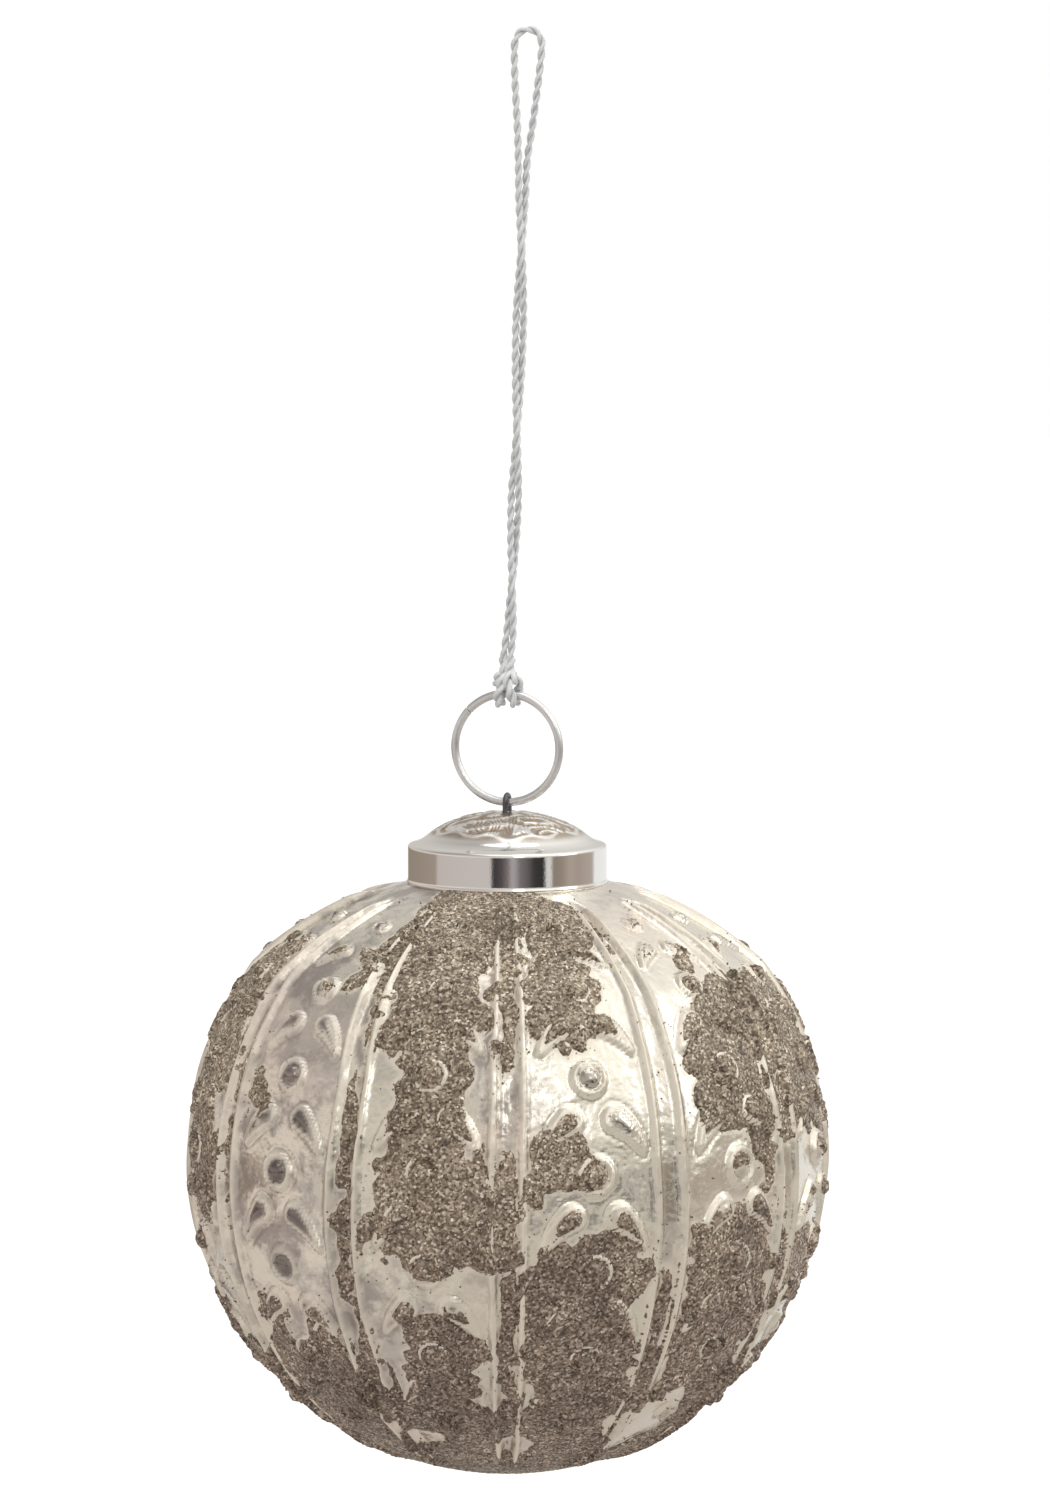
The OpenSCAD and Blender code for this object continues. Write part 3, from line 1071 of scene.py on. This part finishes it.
@dataclass(frozen=True)
class GrainMap:
    """Where grains are glued: crusted areas laid one over another, with bare areas taken out.

    An area is (turn, latitude, half its width, half its height), in degrees.
    """

    crusted: Tuple[Area, ...] = (
        (-8.0, 56.0, 38.0, 20.0), (-14.0, 34.0, 16.0, 14.0), (12.0, 44.0, 10.5, 18.0),
        (-38.0, 44.0, 8.0, 6.0), (-14.0, 9.0, 11.0, 25.0), (-16.5, -2.0, 12.0, 13.0),
        (-4.0, -1.0, 9.0, 11.0), (8.0, 7.0, 5.5, 8.0), (59.0, 24.0, 23.0, 17.0),
        (74.0, 20.0, 18.0, 20.0), (44.0, 20.0, 7.0, 10.0), (54.0, 6.0, 6.0, 7.0),
        (49.0, 43.5, 4.0, 2.5), (-72.0, 14.0, 15.0, 24.0), (-79.0, 33.0, 13.0, 15.0),
        (-52.5, 17.0, 3.0, 5.0), (70.0, -15.0, 12.0, 7.0), (14.5, -22.0, 15.0, 19.0),
        (46.5, -20.0, 16.0, 19.0), (-13.0, -30.0, 10.0, 9.5), (-30.0, -10.0, 1.9, 30.0),
    )
    bare: Tuple[Area, ...] = (
        (-46.0, 60.0, 9.0, 24.0), (-24.5, 19.0, 3.4, 8.5), (-5.6, 20.0, 2.2, 11.0),
        (-12.0, -15.5, 7.5, 3.6), (-23.2, -22.0, 3.2, 15.0), (-5.0, -36.0, 2.2, 6.0),
        (19.0, 2.0, 7.6, 5.6), (16.0, 21.0, 12.0, 6.8), (24.0, 12.0, 4.5, 9.0),
        (6.0, -3.5, 3.4, 3.4), (33.8, 16.0, 4.0, 11.0), (40.0, 2.5, 11.0, 5.6),
        (68.0, 1.5, 11.0, 6.5), (70.0, -29.5, 10.0, 6.0), (40.0, -50.0, 11.0, 9.0),
        (32.6, -19.0, 1.8, 5.0), (35.0, -36.0, 2.0, 4.0), (27.5, -45.0, 2.0, 7.0),
        (0.0, -55.0, 6.0, 4.5), (-27.0, -52.0, 5.5, 2.6), (-62.0, 29.0, 4.0, 2.4),
        (-62.0, 13.0, 4.5, 3.0), (-62.5, -1.0, 4.0, 2.4), (-65.0, -24.0, 10.0, 9.0),
        (-3.1, 27.0, 1.3, 21.0), (3.0, 29.0, 1.5, 29.0), (-3.1, -29.0, 1.2, 12.0),
        (3.0, -32.0, 1.3, 11.0), (-32.6, 10.0, 1.2, 40.0), (-27.4, 2.0, 1.2, 37.0),
        (26.9, 14.0, 1.5, 46.0), (32.4, 22.0, 1.3, 42.0), (-57.0, 10.0, 1.5, 38.0),
        (-63.0, 10.0, 1.3, 34.0), (57.0, -2.0, 1.2, 22.0),
    )

    def field(self, turn: np.ndarray, lat: np.ndarray, points: np.ndarray) -> np.ndarray:
        """A value above zero where there is a crust.

        Args:
            turn: Degrees round from the front rib, from -180 to 180.
            lat: Latitudes in degrees.
            points: The same places in space.

        Returns:
            The greatest of 1 - d over the crusted areas and a share that rises towards the foot, then
            the smallest of that and d - 1 over the bare areas, d being the distance to an area's
            middle in half sizes. The back has the same areas mirrored, and noise moves the edges.
        """
        big = Ripple(21, 9.0)(points)
        small = Ripple(22, 3.4)(points)
        other = Ripple(23, 8.0)(points)
        shrink = np.cos(np.radians(np.clip(lat, -75, 75)))
        moved_lat = lat + 0.9 * other + 0.55 * small
        moved_turn = turn + (0.9 * big + 0.55 * Ripple(24, 3.0)(points)) / shrink
        value = np.clip((-24.0 - moved_lat + 2.5 * big) / 9.0, -1.0, 1.0)
        for areas, crusted in ((self.crusted, True), (self.bare, False)):
            for place, middle, wide, high in areas:
                for centre, tilt in ((place, 0.0), (176.0 - place, 2.0)):
                    off = (moved_turn - centre + 180.0) % 360.0 - 180.0
                    away = np.hypot(off / wide, (moved_lat - middle + tilt) / high)
                    value = np.maximum(value, 1 - away) if crusted else np.minimum(value, away - 1)
        return value


@dataclass
class EmbossedBall:
    """The blown ball in three stacked bands, the coat of grains glued on it, and its silver coat."""

    crown_z: float = -190.4
    crown_r: float = 59.1
    wall: float = 1.2
    neck_r: float = 14.6
    rim_z: float = -127.0
    columns: int = 720
    row_step: float = 0.55
    seams: Tuple[float, float] = (-30.0, 22.0)
    top_lat: float = 70.7
    grain_step: float = 0.37
    grain_lats: Tuple[float, float] = (-66.0, 69.4)
    pool_gain: float = 0.34
    line_loss: float = 0.9
    crust: float = 0.5
    crust_sunk: float = 0.32
    roughness: float = 0.075
    slide: float = 0.3
    foot_reach: float = 24.6
    loose: int = 1700
    mould: MouldPattern = field(default_factory=MouldPattern)
    grains: GrainMap = field(default_factory=GrainMap)

    def radius(self, lat: np.ndarray, inset: float = 0.0) -> np.ndarray:
        """Distance from the ball's centre to its skin: the ball's radius, or the shoulder's if nearer."""
        drop = self.crown_z - BALL_Z
        lean = np.sin(np.radians(lat)) * drop
        shoulder = lean + np.sqrt(lean**2 - drop**2 + (self.crown_r - inset) ** 2)
        return np.minimum(BALL_R - inset, shoulder)

    def place(self, turn: np.ndarray, lat: np.ndarray, lift: Union[float, np.ndarray] = 0.0) -> np.ndarray:
        """The point at a turn and latitude, lifted off the skin along its radius."""
        reach = self.radius(lat) + lift
        across = reach * np.cos(np.radians(lat))
        return round_turns(across, BALL_Z + reach * np.sin(np.radians(lat)), turn + FRONT_RIB)

    def relief(self, turn: np.ndarray, lat: np.ndarray) -> np.ndarray:
        """Height, outlines and pools of the mould, stacked, fading out where the neck begins."""
        return self.mould.height(turn, lat, self.place(turn, lat)) * (1 - eased(lat, 66.0, 69.5))

    def aged(self, turn: np.ndarray, points: np.ndarray) -> np.ndarray:
        """How smoky the silver is: most on the left half, by the sine of the turn, with slow noise."""
        half = np.where(turn % 360 < 180, 1.0, -1.0)
        side = 0.5 - 0.5 * np.sin(np.radians(turn % 180.0 + 8.0) * half)
        return np.clip(side + 0.22 * Ripple(41, 30.0)(points), 0.0, 1.0)

    def edge_distance(
        self, turn: np.ndarray, lat: np.ndarray, line: np.ndarray, pool: np.ndarray
    ) -> np.ndarray:
        """Millimetres from the edge of the grains, above nothing inside them.

        Args:
            turn: Turns on a grid, changing along the second axis.
            lat: Latitudes on the same grid, changing along the first.
            line: Share of the motifs' outlines on it.
            pool: Share of the pools inside the motifs, where grains gather.

        Returns:
            The grain map's value, more in the pools and less on the outlines, over its slope's length.
        """
        points = self.place(turn, lat)
        value = self.grains.field((turn + 180) % 360 - 180, lat, points)
        shown = eased(Ripple(31, 7.0)(points), -0.5, 0.7)
        value = value + self.pool_gain * pool - self.line_loss * shown * line - 0.08
        rise = np.gradient(value, axis=0) / (np.gradient(lat, axis=0) * MM_PER_DEGREE)
        shrink = np.maximum(np.cos(np.radians(lat)), 0.05)
        across = np.gradient(value, axis=1) / (np.gradient(turn, axis=1) * MM_PER_DEGREE * shrink)
        return value / np.maximum(np.hypot(rise, across), 0.09)

    def build_glass(self) -> None:
        """Makes the glass wall: the outside with its relief, the neck, the rim and the plain inside."""
        turn = np.arange(self.columns) * 360.0 / self.columns
        lows, highs = self.seams
        step = self.row_step / MM_PER_DEGREE
        stretches = [(-90.0 + step, lows), (lows, highs), (highs, self.top_lat)]
        counts = [int(round((b - a) / step)) for a, b in stretches]
        rows = [np.linspace(a, b, n + 1)[:-1] for (a, b), n in zip(stretches, counts)]
        lat = np.concatenate(rows + [[self.top_lat]])
        turns, lats = np.meshgrid(turn, lat)
        relief, line, pool = self.relief(turns, lats)
        edge = self.edge_distance(turns, lats, line, pool)
        glue = np.exp(-(((edge + 0.15) / 0.55) ** 2)) + 0.5 * (edge > 0)
        outside = self.place(turns, lats, relief)
        neck = self._neck_rings(turn)
        inner_crown = np.linspace(self.top_lat + 2.0, highs, 22)[:-1]
        inner_belt = np.linspace(highs, lows, 16)
        inner_foot = np.linspace(lows, -88.5, 22)[1:]
        inner_lat = np.concatenate([inner_crown, inner_belt, inner_foot])
        reach = self.radius(inner_lat, self.wall)[:, None]
        flat = np.radians(inner_lat)[:, None]
        inside = round_turns(reach * np.cos(flat), BALL_Z + reach * np.sin(flat), turn + FRONT_RIB)
        rings = np.concatenate([outside, neck, inside])
        normals = self._normals(rings)
        extra = np.zeros((len(rings) - len(outside), self.columns))
        aged = self.aged(turns, self.place(turns, lats))
        shares = {"line": line, "pool": pool, "glue": glue, "aged": aged}
        numbers = {k: np.concatenate([np.clip(v, 0, 1), extra]) for k, v in shares.items()}
        first, second = counts[0], counts[0] + counts[1]
        in_high = len(outside) + len(neck) + len(inner_crown)
        in_low = in_high + len(inner_belt) - 1
        glass = SilveredGlass().material()
        spans = {
            "ball_foot": [(0, first + 1), (in_low, len(rings))],
            "ball_belt": [(first, second + 1), (in_high, in_low + 1)],
            "ball_crown": [(second, in_high + 1)],
        }
        for name, pieces in spans.items():
            chosen = np.concatenate([np.arange(a, b) for a, b in pieces])
            here = {k: v[chosen] for k, v in numbers.items()}
            made = self._band(rings[chosen], normals[chosen], here, name != "ball_foot").build(name)
            if name == "ball_belt":
                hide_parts("glass_ball")
            dress(made, "ball", Slot.GLASS, glass)

    def _neck_rings(self, turn: np.ndarray) -> np.ndarray:
        """The fillet, the neck, its rounded rim and the neck's inside, as rings."""
        start = np.array([15.3, BALL_Z + 43.67])
        corner = np.array([self.neck_r, start[1] + 0.25])
        top = np.array([self.neck_r, start[1] + 1.1])
        fillet = curved_corner(start, corner, top, 6)[1:]
        half = self.wall / 2
        rim_middle = np.array([self.neck_r - half, self.rim_z - half])
        rise = np.linspace(top[1], rim_middle[1], 7)[1:-1]
        outer = np.stack([np.full_like(rise, self.neck_r), rise], -1)
        bow = np.radians(np.linspace(0, 180, 11))
        rim = rim_middle + half * np.stack([np.cos(bow), np.sin(bow)], -1)
        fall = np.linspace(rim_middle[1], start[1] - 0.2, 7)[1:]
        inner = np.stack([np.full_like(fall, self.neck_r - self.wall), fall], -1)
        line = np.concatenate([fillet, outer, rim, inner])
        return round_turns(line[:, :1], line[:, 1:], turn[None] + FRONT_RIB)

    @staticmethod
    def _normals(rings: np.ndarray) -> np.ndarray:
        """Outward directions from the slopes along and across the rings."""
        across = np.roll(rings, -1, axis=1) - np.roll(rings, 1, axis=1)
        return unit(np.cross(across, np.gradient(rings, axis=0)))

    def _band(
        self, rings: np.ndarray, normals: np.ndarray, numbers: Dict[str, np.ndarray], closed: bool
    ) -> Skin:
        """One closed band of the wall.

        Args:
            rings: Rings of the outside upwards and of the inside downwards.
            normals: Outward directions on them.
            numbers: The shares of outline, pool, glue and age on them.
            closed: Whether the last ring meets the first; otherwise each end closes in a point.

        Returns:
            The skin with its normals and numbers.
        """
        rows, cols = rings.shape[:2]
        if closed:
            flat = {k: v.ravel() for k, v in numbers.items()}
            faces = ring_quads(rows, cols, wrap_rows=True)
            return Skin(rings.reshape(-1, 3), faces, numbers=flat, normals=normals.reshape(-1, 3))
        low = np.array([AXIS_X, 0.0, BALL_Z - BALL_R])
        skin = capped_rings(rings, low, low + np.array([0.0, 0.0, self.wall]))
        skin.numbers = {k: np.concatenate([v.ravel(), v[[0, -1], 0]]) for k, v in numbers.items()}
        skin.normals = np.concatenate([normals.reshape(-1, 3), [[0, 0, -1]], [[0, 0, 1]]])
        return skin

    def build_grains(self) -> None:
        """Makes the coat of grains in six sectors, a foot disc and loose grains beside the edges."""
        coat = GrainedCoat().material()
        step = self.grain_step / MM_PER_DEGREE
        columns = int(round(60.0 / step))
        chance = np.random.default_rng(5)
        lat = np.arange(*self.grain_lats, step)
        full_turn = np.arange(6 * columns + 1) * 60.0 / columns
        turns, lats = np.meshgrid(full_turn, lat)
        relief, line, pool = self.relief(turns, lats)
        edge = self.edge_distance(turns, lats, line, pool)
        top, under = self._crust_sides(turns, lats, relief, edge, chance)
        for sector in range(6):
            part = slice(sector * columns, (sector + 1) * columns + 1)
            skin = masked_shell(top[:, part], under[:, part], self._kept(edge[:, part]))
            made = skin.build(f"grain_sector_{sector + 1}", smooth=False)
            if sector == 0:
                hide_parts("grain_coat")
            dress(made, "ball", Slot.GRAINS, coat)
        self._foot_disc(coat, chance)
        self._loose_grains(turns, lats, relief, edge, coat, chance)

    def _thickness(self, edge: np.ndarray) -> np.ndarray:
        """The coat's thickness: 0.12 mm at its edge, climbing at three in four to the whole crust."""
        return np.clip(0.12 + 0.75 * edge, -0.2, self.crust)

    def _crust_sides(
        self,
        turns: np.ndarray,
        lats: np.ndarray,
        relief: np.ndarray,
        edge: np.ndarray,
        chance: np.random.Generator,
    ) -> Tuple[np.ndarray, np.ndarray]:
        """The top and the underside of the coat.

        Args:
            turns: Turns on a grid.
            lats: Latitudes on it.
            relief: The mould's relief on it.
            edge: Millimetres inside the edge of the grains.
            chance: Seeded random numbers.

        Returns:
            Points of the top, which climbs from the glass at the edge and is rough by random shifts,
            and of the underside, sunk a little in the glass. The last column meets the first.
        """
        wobble = chance.uniform(-1, 1, (3, *turns.shape))
        wobble[0] = self._grainy(wobble[0])
        wobble[:, :, -1] = wobble[:, :, 0]
        lift = relief + self._thickness(edge) + self.roughness * wobble[0] * (edge > -0.1)
        shrink = np.maximum(np.cos(np.radians(lats)), 0.2)
        slide = self.slide * self.grain_step / MM_PER_DEGREE
        moved = self.place(turns + slide * wobble[1] / shrink, lats + slide * wobble[2], lift)
        moved[:, -1] = moved[:, 0]
        return moved, self.place(turns, lats, relief - self.crust_sunk)

    @staticmethod
    def _grainy(wobble: np.ndarray) -> np.ndarray:
        """Random heights less the mean of their four neighbours, so that no lump is wider than a grain."""
        beside = sum(np.roll(wobble, way, axis) for axis in (0, 1) for way in (1, -1))
        return wobble - beside / 4

    @staticmethod
    def _kept(edge: np.ndarray) -> np.ndarray:
        """Which cells of the grid have a corner in the grains or just outside them."""
        corner = edge > -0.42
        return corner[:-1, :-1] | corner[1:, :-1] | corner[:-1, 1:] | corner[1:, 1:]

    def _foot_disc(self, coat: bpy.types.Material, chance: np.random.Generator) -> None:
        """The coat under the ball, on a square grid: latitude by distance, turn by direction.

        Args:
            coat: The grains' finish.
            chance: Seeded random numbers.
        """
        half = int(25.0 * MM_PER_DEGREE / self.grain_step)
        line = np.arange(-half, half + 1) * self.grain_step / MM_PER_DEGREE
        x, y = np.meshgrid(line, line)
        away = np.hypot(x, y) + 1e-6
        lats = -90.0 + away
        turns = np.degrees(np.arctan2(y, x)) - FRONT_RIB
        relief = self.relief(turns % 360, lats)[0]
        value = self.grains.field((turns + 180) % 360 - 180, lats, self.place(turns, lats))
        edge = np.where(away < self.foot_reach, value * 9.0, -1.0)
        wobble = chance.uniform(-1, 1, (3, *x.shape))
        shift = self.slide * line[-1] / half
        dx = x + shift * wobble[1]
        dy = y + shift * wobble[2]
        moved_turn = np.degrees(np.arctan2(dy, dx)) - FRONT_RIB
        lift = relief + self._thickness(edge) + self.roughness * self._grainy(wobble[0])
        top = self.place(moved_turn, -90.0 + np.hypot(dx, dy), lift)[:, ::-1]
        under = self.place(turns, lats, relief - self.crust_sunk)[:, ::-1]
        kept = self._kept(edge) & self._kept(self.foot_reach - 0.4 - away)
        skin = masked_shell(top, under, kept[:, ::-1])
        dress(skin.build("grain_foot", smooth=False), "ball", Slot.GRAINS, coat)

    def _loose_grains(
        self,
        turns: np.ndarray,
        lats: np.ndarray,
        relief: np.ndarray,
        edge: np.ndarray,
        coat: bpy.types.Material,
        chance: np.random.Generator,
    ) -> None:
        """Single grains beside the edges of the coat: eight-sided stones, turned at random.

        Args:
            turns: Turns on a grid.
            lats: Latitudes on it.
            relief: The mould's relief on it.
            edge: Millimetres inside the edge of the grains; the odds of a stone fall off from there.
            coat: The grains' finish.
            chance: Seeded random numbers.
        """
        near = np.where(edge > -6.0, np.exp(np.minimum(edge, 0.0) / 0.6), 0.0)
        odds = (near + 0.0012) * (edge < -0.2) * np.cos(np.radians(lats))
        picked = chance.choice(odds.size, self.loose, replace=False, p=(odds / odds.sum()).ravel())
        size = chance.uniform(0.10, 0.21, len(picked))
        turn, lat, height = (grid.ravel()[picked] for grid in (turns, lats, relief))
        seat = self.place(turn, lat, height + 0.45 * size)
        spin = unit(chance.normal(size=(len(picked), 4)))
        w, x, y, z = spin.T
        first = np.stack([1 - 2 * (y * y + z * z), 2 * (x * y + z * w), 2 * (x * z - y * w)], -1)
        second = np.stack([2 * (x * y - z * w), 1 - 2 * (x * x + z * z), 2 * (y * z + x * w)], -1)
        third = np.cross(first, second)
        axes = np.stack([first, -first, second, -second, third, -third], 1)
        stretch = chance.uniform(0.75, 1.25, (len(picked), 6, 1))
        points = seat[:, None] + axes * stretch * size[:, None, None]
        upper = np.array([[0, 2, 4], [2, 1, 4], [1, 3, 4], [3, 0, 4]])
        lower = np.array([[2, 0, 5], [1, 2, 5], [3, 1, 5], [0, 3, 5]])
        shape = np.concatenate([upper, lower])
        faces = (shape[None] + 6 * np.arange(len(picked))[:, None, None]).reshape(-1, 3)
        made = Skin(points.reshape(-1, 3), triangles=faces).build("grain_loose", smooth=False)
        dress(made, "ball", Slot.GRAINS, coat)

    def build(self) -> None:
        """Makes every piece of the ball and dresses its silver coat."""
        self.build_glass()
        self.build_grains()
        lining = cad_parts["silver_lining"]
        lining.data.materials.clear()
        lining.data.materials.append(MirrorCoat().material())
        LOG.info("silver_lining: kept, finish %s", Slot.SILVER.value)


def masked_shell(top: np.ndarray, under: np.ndarray, kept: np.ndarray) -> Skin:
    """A closed thin shell over the kept cells of a grid.

    Args:
        top: Points of the upper side as (rows, columns, 3).
        under: Points of the lower side.
        kept: Which cells there are, one fewer each way.

    Returns:
        Upper quads, the same reversed below, and a wall wherever a kept cell has no kept neighbour.
    """
    rows, cols = top.shape[:2]
    index = np.arange(rows * cols).reshape(rows, cols)
    count = rows * cols
    corners = np.stack([index[:-1, :-1], index[:-1, 1:], index[1:, 1:], index[1:, :-1]], -1)
    upper = corners[kept]
    lower = upper[:, ::-1] + count
    ring = np.pad(kept, 1)
    outside = [ring[:-2, 1:-1], ring[1:-1, 2:], ring[2:, 1:-1], ring[1:-1, :-2]]
    walls = []
    for side, neighbour in enumerate(outside):
        lone = kept & ~neighbour
        start = corners[lone][:, side]
        end = corners[lone][:, (side + 1) % 4]
        walls.append(np.stack([end, start, start + count, end + count], -1))
    quads = np.concatenate([upper, lower, *walls])
    used, flat = np.unique(quads, return_inverse=True)
    points = np.concatenate([top.reshape(-1, 3), under.reshape(-1, 3)])[used]
    return Skin(points, flat.reshape(-1, 4))


# ---------------------------------------------------------------------------------------------
# Studio
# ---------------------------------------------------------------------------------------------


def level_direction(turn: float) -> np.ndarray:
    """The level direction so many degrees to the right of the front rib, seen from the ball."""
    angle = np.radians(FRONT_RIB + turn)
    return np.array([np.cos(angle), np.sin(angle), 0.0])


@dataclass(frozen=True)
class SoftBox:
    """A soft box hung round the ball and facing it: degrees right and up, metres and watts."""

    name: str
    turn: float
    lift: float
    size: Tuple[float, float]
    power: float
    mirrored: bool = True
    distance: float = 1.6

    def hang(self) -> None:
        """Makes the light; one that isn't mirrored lights the plating but doesn't show in it."""
        lamp = bpy.data.lights.new(self.name, "AREA")
        lamp.shape = "RECTANGLE"
        lamp.size, lamp.size_y = self.size
        lamp.energy = self.power
        made = bpy.data.objects.new(self.name, lamp)
        lift = np.radians(self.lift)
        away = level_direction(self.turn) * np.cos(lift) + np.array([0.0, 0.0, np.sin(lift)])
        made.location = Vector(BALL_MIDDLE * METRES + self.distance * away)
        made.rotation_euler = Vector(away).to_track_quat("Z", "Y").to_euler()
        made.visible_glossy = self.mirrored
        bpy.context.scene.collection.objects.link(made)


@dataclass
class Studio:
    """Pale floor and surround, a plain room for the plating to reflect, soft boxes and the camera."""

    distance: float = 0.9
    elevation: float = 9.5
    pitch: float = 5.43
    aim_right: float = 0.182
    lens: float = 134.9
    floor_z: float = -420.0
    floor_half: float = 9000.0
    boxes: Tuple[SoftBox, ...] = (
        SoftBox("box_left", -60.0, 30.0, (1.2, 1.2), 3.6, mirrored=False),
        SoftBox("box_front", 14.0, 27.0, (0.3, 0.65), 1.25),
        SoftBox("box_right", 78.0, 30.0, (0.6, 1.0), 3.0),
        SoftBox("box_top", 10.0, 84.0, (1.2, 1.2), 4.0),
    )
    strips: Ramp = (
        (0.0, (0.90, 0.89, 0.87)), (0.035, (0.86, 0.84, 0.82)), (0.045, (0.30, 0.25, 0.20)),
        (0.245, (0.37, 0.31, 0.26)), (0.258, (0.57, 0.52, 0.49)), (0.445, (0.61, 0.565, 0.54)),
        (0.455, (0.04, 0.038, 0.042)), (0.482, (0.09, 0.078, 0.082)), (0.503, (0.22, 0.18, 0.18)),
        (0.514, (0.42, 0.40, 0.40)), (0.527, (0.36, 0.34, 0.34)), (0.540, (0.20, 0.185, 0.185)),
        (0.565, (0.13, 0.12, 0.12)), (0.585, (0.05, 0.046, 0.046)), (0.619, (0.03, 0.028, 0.028)),
        (0.629, (0.72, 0.71, 0.69)), (0.643, (0.70, 0.69, 0.67)), (0.652, (0.28, 0.23, 0.19)),
        (0.685, (0.33, 0.27, 0.22)), (0.715, (0.44, 0.38, 0.33)), (0.750, (0.41, 0.34, 0.29)),
        (0.824, (0.48, 0.42, 0.37)), (0.838, (0.92, 0.92, 0.91)), (1.0, (0.92, 0.92, 0.91)),
    )
    walls: Ramp = (
        (0.0, (0.62, 0.59, 0.55)), (0.10, (0.64, 0.60, 0.55)), (0.22, (0.80, 0.735, 0.68)),
        (0.34, (0.84, 0.775, 0.72)), (0.45, (0.70, 0.66, 0.60)), (0.60, (0.66, 0.63, 0.57)),
        (0.80, (0.58, 0.54, 0.49)), (0.86, (0.92, 0.92, 0.90)), (1.0, (0.62, 0.59, 0.55)),
    )
    roof: Ramp = (
        (0.0, (0.70, 0.68, 0.65)), (0.22, (0.35, 0.325, 0.30)), (0.42, (0.56, 0.53, 0.49)),
        (0.62, (1.32, 1.28, 1.2)), (0.80, (1.2, 1.18, 1.12)), (1.0, (0.70, 0.68, 0.65)),
    )

    def camera(self) -> None:
        """Sets the camera: out from the ball's middle, turned down and a little to the right."""
        lift = np.radians(self.elevation)
        away = level_direction(0.0) * np.cos(lift) + np.array([0.0, 0.0, np.sin(lift)])
        place = BALL_MIDDLE * METRES + self.distance * away
        down = np.radians(self.pitch)
        back = level_direction(-self.aim_right) * np.cos(down) + np.array([0.0, 0.0, np.sin(down)])
        right = unit(np.cross([0.0, 0.0, 1.0], back))
        up = np.cross(back, right)
        data = bpy.data.cameras.new("view")
        data.lens = self.lens
        data.sensor_width = 36.0
        data.clip_start = 0.01
        data.clip_end = 50.0
        camera = bpy.data.objects.new("view", data)
        camera.matrix_world = Matrix.LocRotScale(
            Vector(place), Matrix([Vector(right), Vector(up), Vector(back)]).transposed(), None
        )
        bpy.context.scene.collection.objects.link(camera)
        bpy.context.scene.camera = camera

    def _room(self, world: bpy.types.World) -> None:
        """Paints the surround: plain white behind the ornament, and a simple room in its reflections.

        The room is a wall whose tone changes round the ball, dark and pale strips low on it, a pale
        ceiling and a dim floor. The share of the way round is the direction's angle over a full turn,
        with the camera's side in the middle.
        """
        tree = ShaderTree("surround", world)
        parts = tree.node("ShaderNodeSeparateXYZ", {}, {0: tree.node("ShaderNodeTexCoord")["Generated"]})
        angle = tree.node("ShaderNodeMath", {"operation": "ARCTAN2"}, {0: parts[1], 1: parts[0]})[0]
        offset = 2.5 - FRONT_RIB / 360.0
        share = tree.node("ShaderNodeMath", {"operation": "FRACT"}, {0: angle / (2 * np.pi) + offset})[0]
        strips = tree.node("ShaderNodeValToRGB", {"stops": self.strips}, {0: share})[0]
        walls = tree.node("ShaderNodeValToRGB", {"stops": self.walls}, {0: share})[0]
        roof = tree.node("ShaderNodeValToRGB", {"stops": self.roof}, {0: share})[0]
        rise = parts[2]
        low = rise.step(-0.3, -0.22) * (1.0 - rise.step(-0.03, 0.06))
        colour = tree.mix(low, walls, strips)
        colour = tree.mix(rise.step(0.1, 0.6), colour, roof)
        colour = tree.mix((0.0 - rise).step(0.3, 0.85), colour, (0.62, 0.57, 0.52))
        seen = tree.node("ShaderNodeLightPath")["Is Camera Ray"]
        colour = tree.mix(seen, colour, (1.0, 1.0, 1.0))
        light = tree.node("ShaderNodeBackground", {}, {"Color": colour, "Strength": 1.0})
        tree.node("ShaderNodeOutputWorld", {}, {"Surface": light[0]})

    def build(self) -> None:
        """Sets the surround, the floor, the lights and the camera."""
        scene = bpy.context.scene
        world = bpy.data.worlds.new("surround")
        self._room(world)
        scene.world = world
        scene.view_settings.view_transform = "Standard"
        self._floor()
        for box in self.boxes:
            box.hang()
        self.camera()

    def _floor(self) -> None:
        """Lays the pale floor, a square that glows a little and isn't mirrored by the plating."""
        half = self.floor_half
        corners = np.array([[-half, -half], [half, -half], [half, half], [-half, half]])
        points = np.concatenate([corners, np.full((4, 1), self.floor_z)], 1)
        floor = Skin(points, np.array([[0, 1, 2, 3]])).build("floor", smooth=False)
        inputs = {
            "Base Color": (0.3, 0.3, 0.3),
            "Roughness": 0.9,
            "Emission Color": (1.0, 1.0, 1.0),
            "Emission Strength": 0.86,
        }
        floor.data.materials.append(ShaderTree("floor_white").finish(inputs))
        floor.visible_glossy = False
        floor.visible_diffuse = False


def main() -> None:
    """Builds the ornament from its cord down, then the studio."""
    logging.basicConfig(level=logging.INFO, format="%(name)s %(message)s")
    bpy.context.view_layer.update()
    Studio().build()
    TwistedCord().build()
    HangerRing().build()
    Staple().build()
    StampedCap().build()
    EmbossedBall().build()


if __name__ == "__main__":
    main()
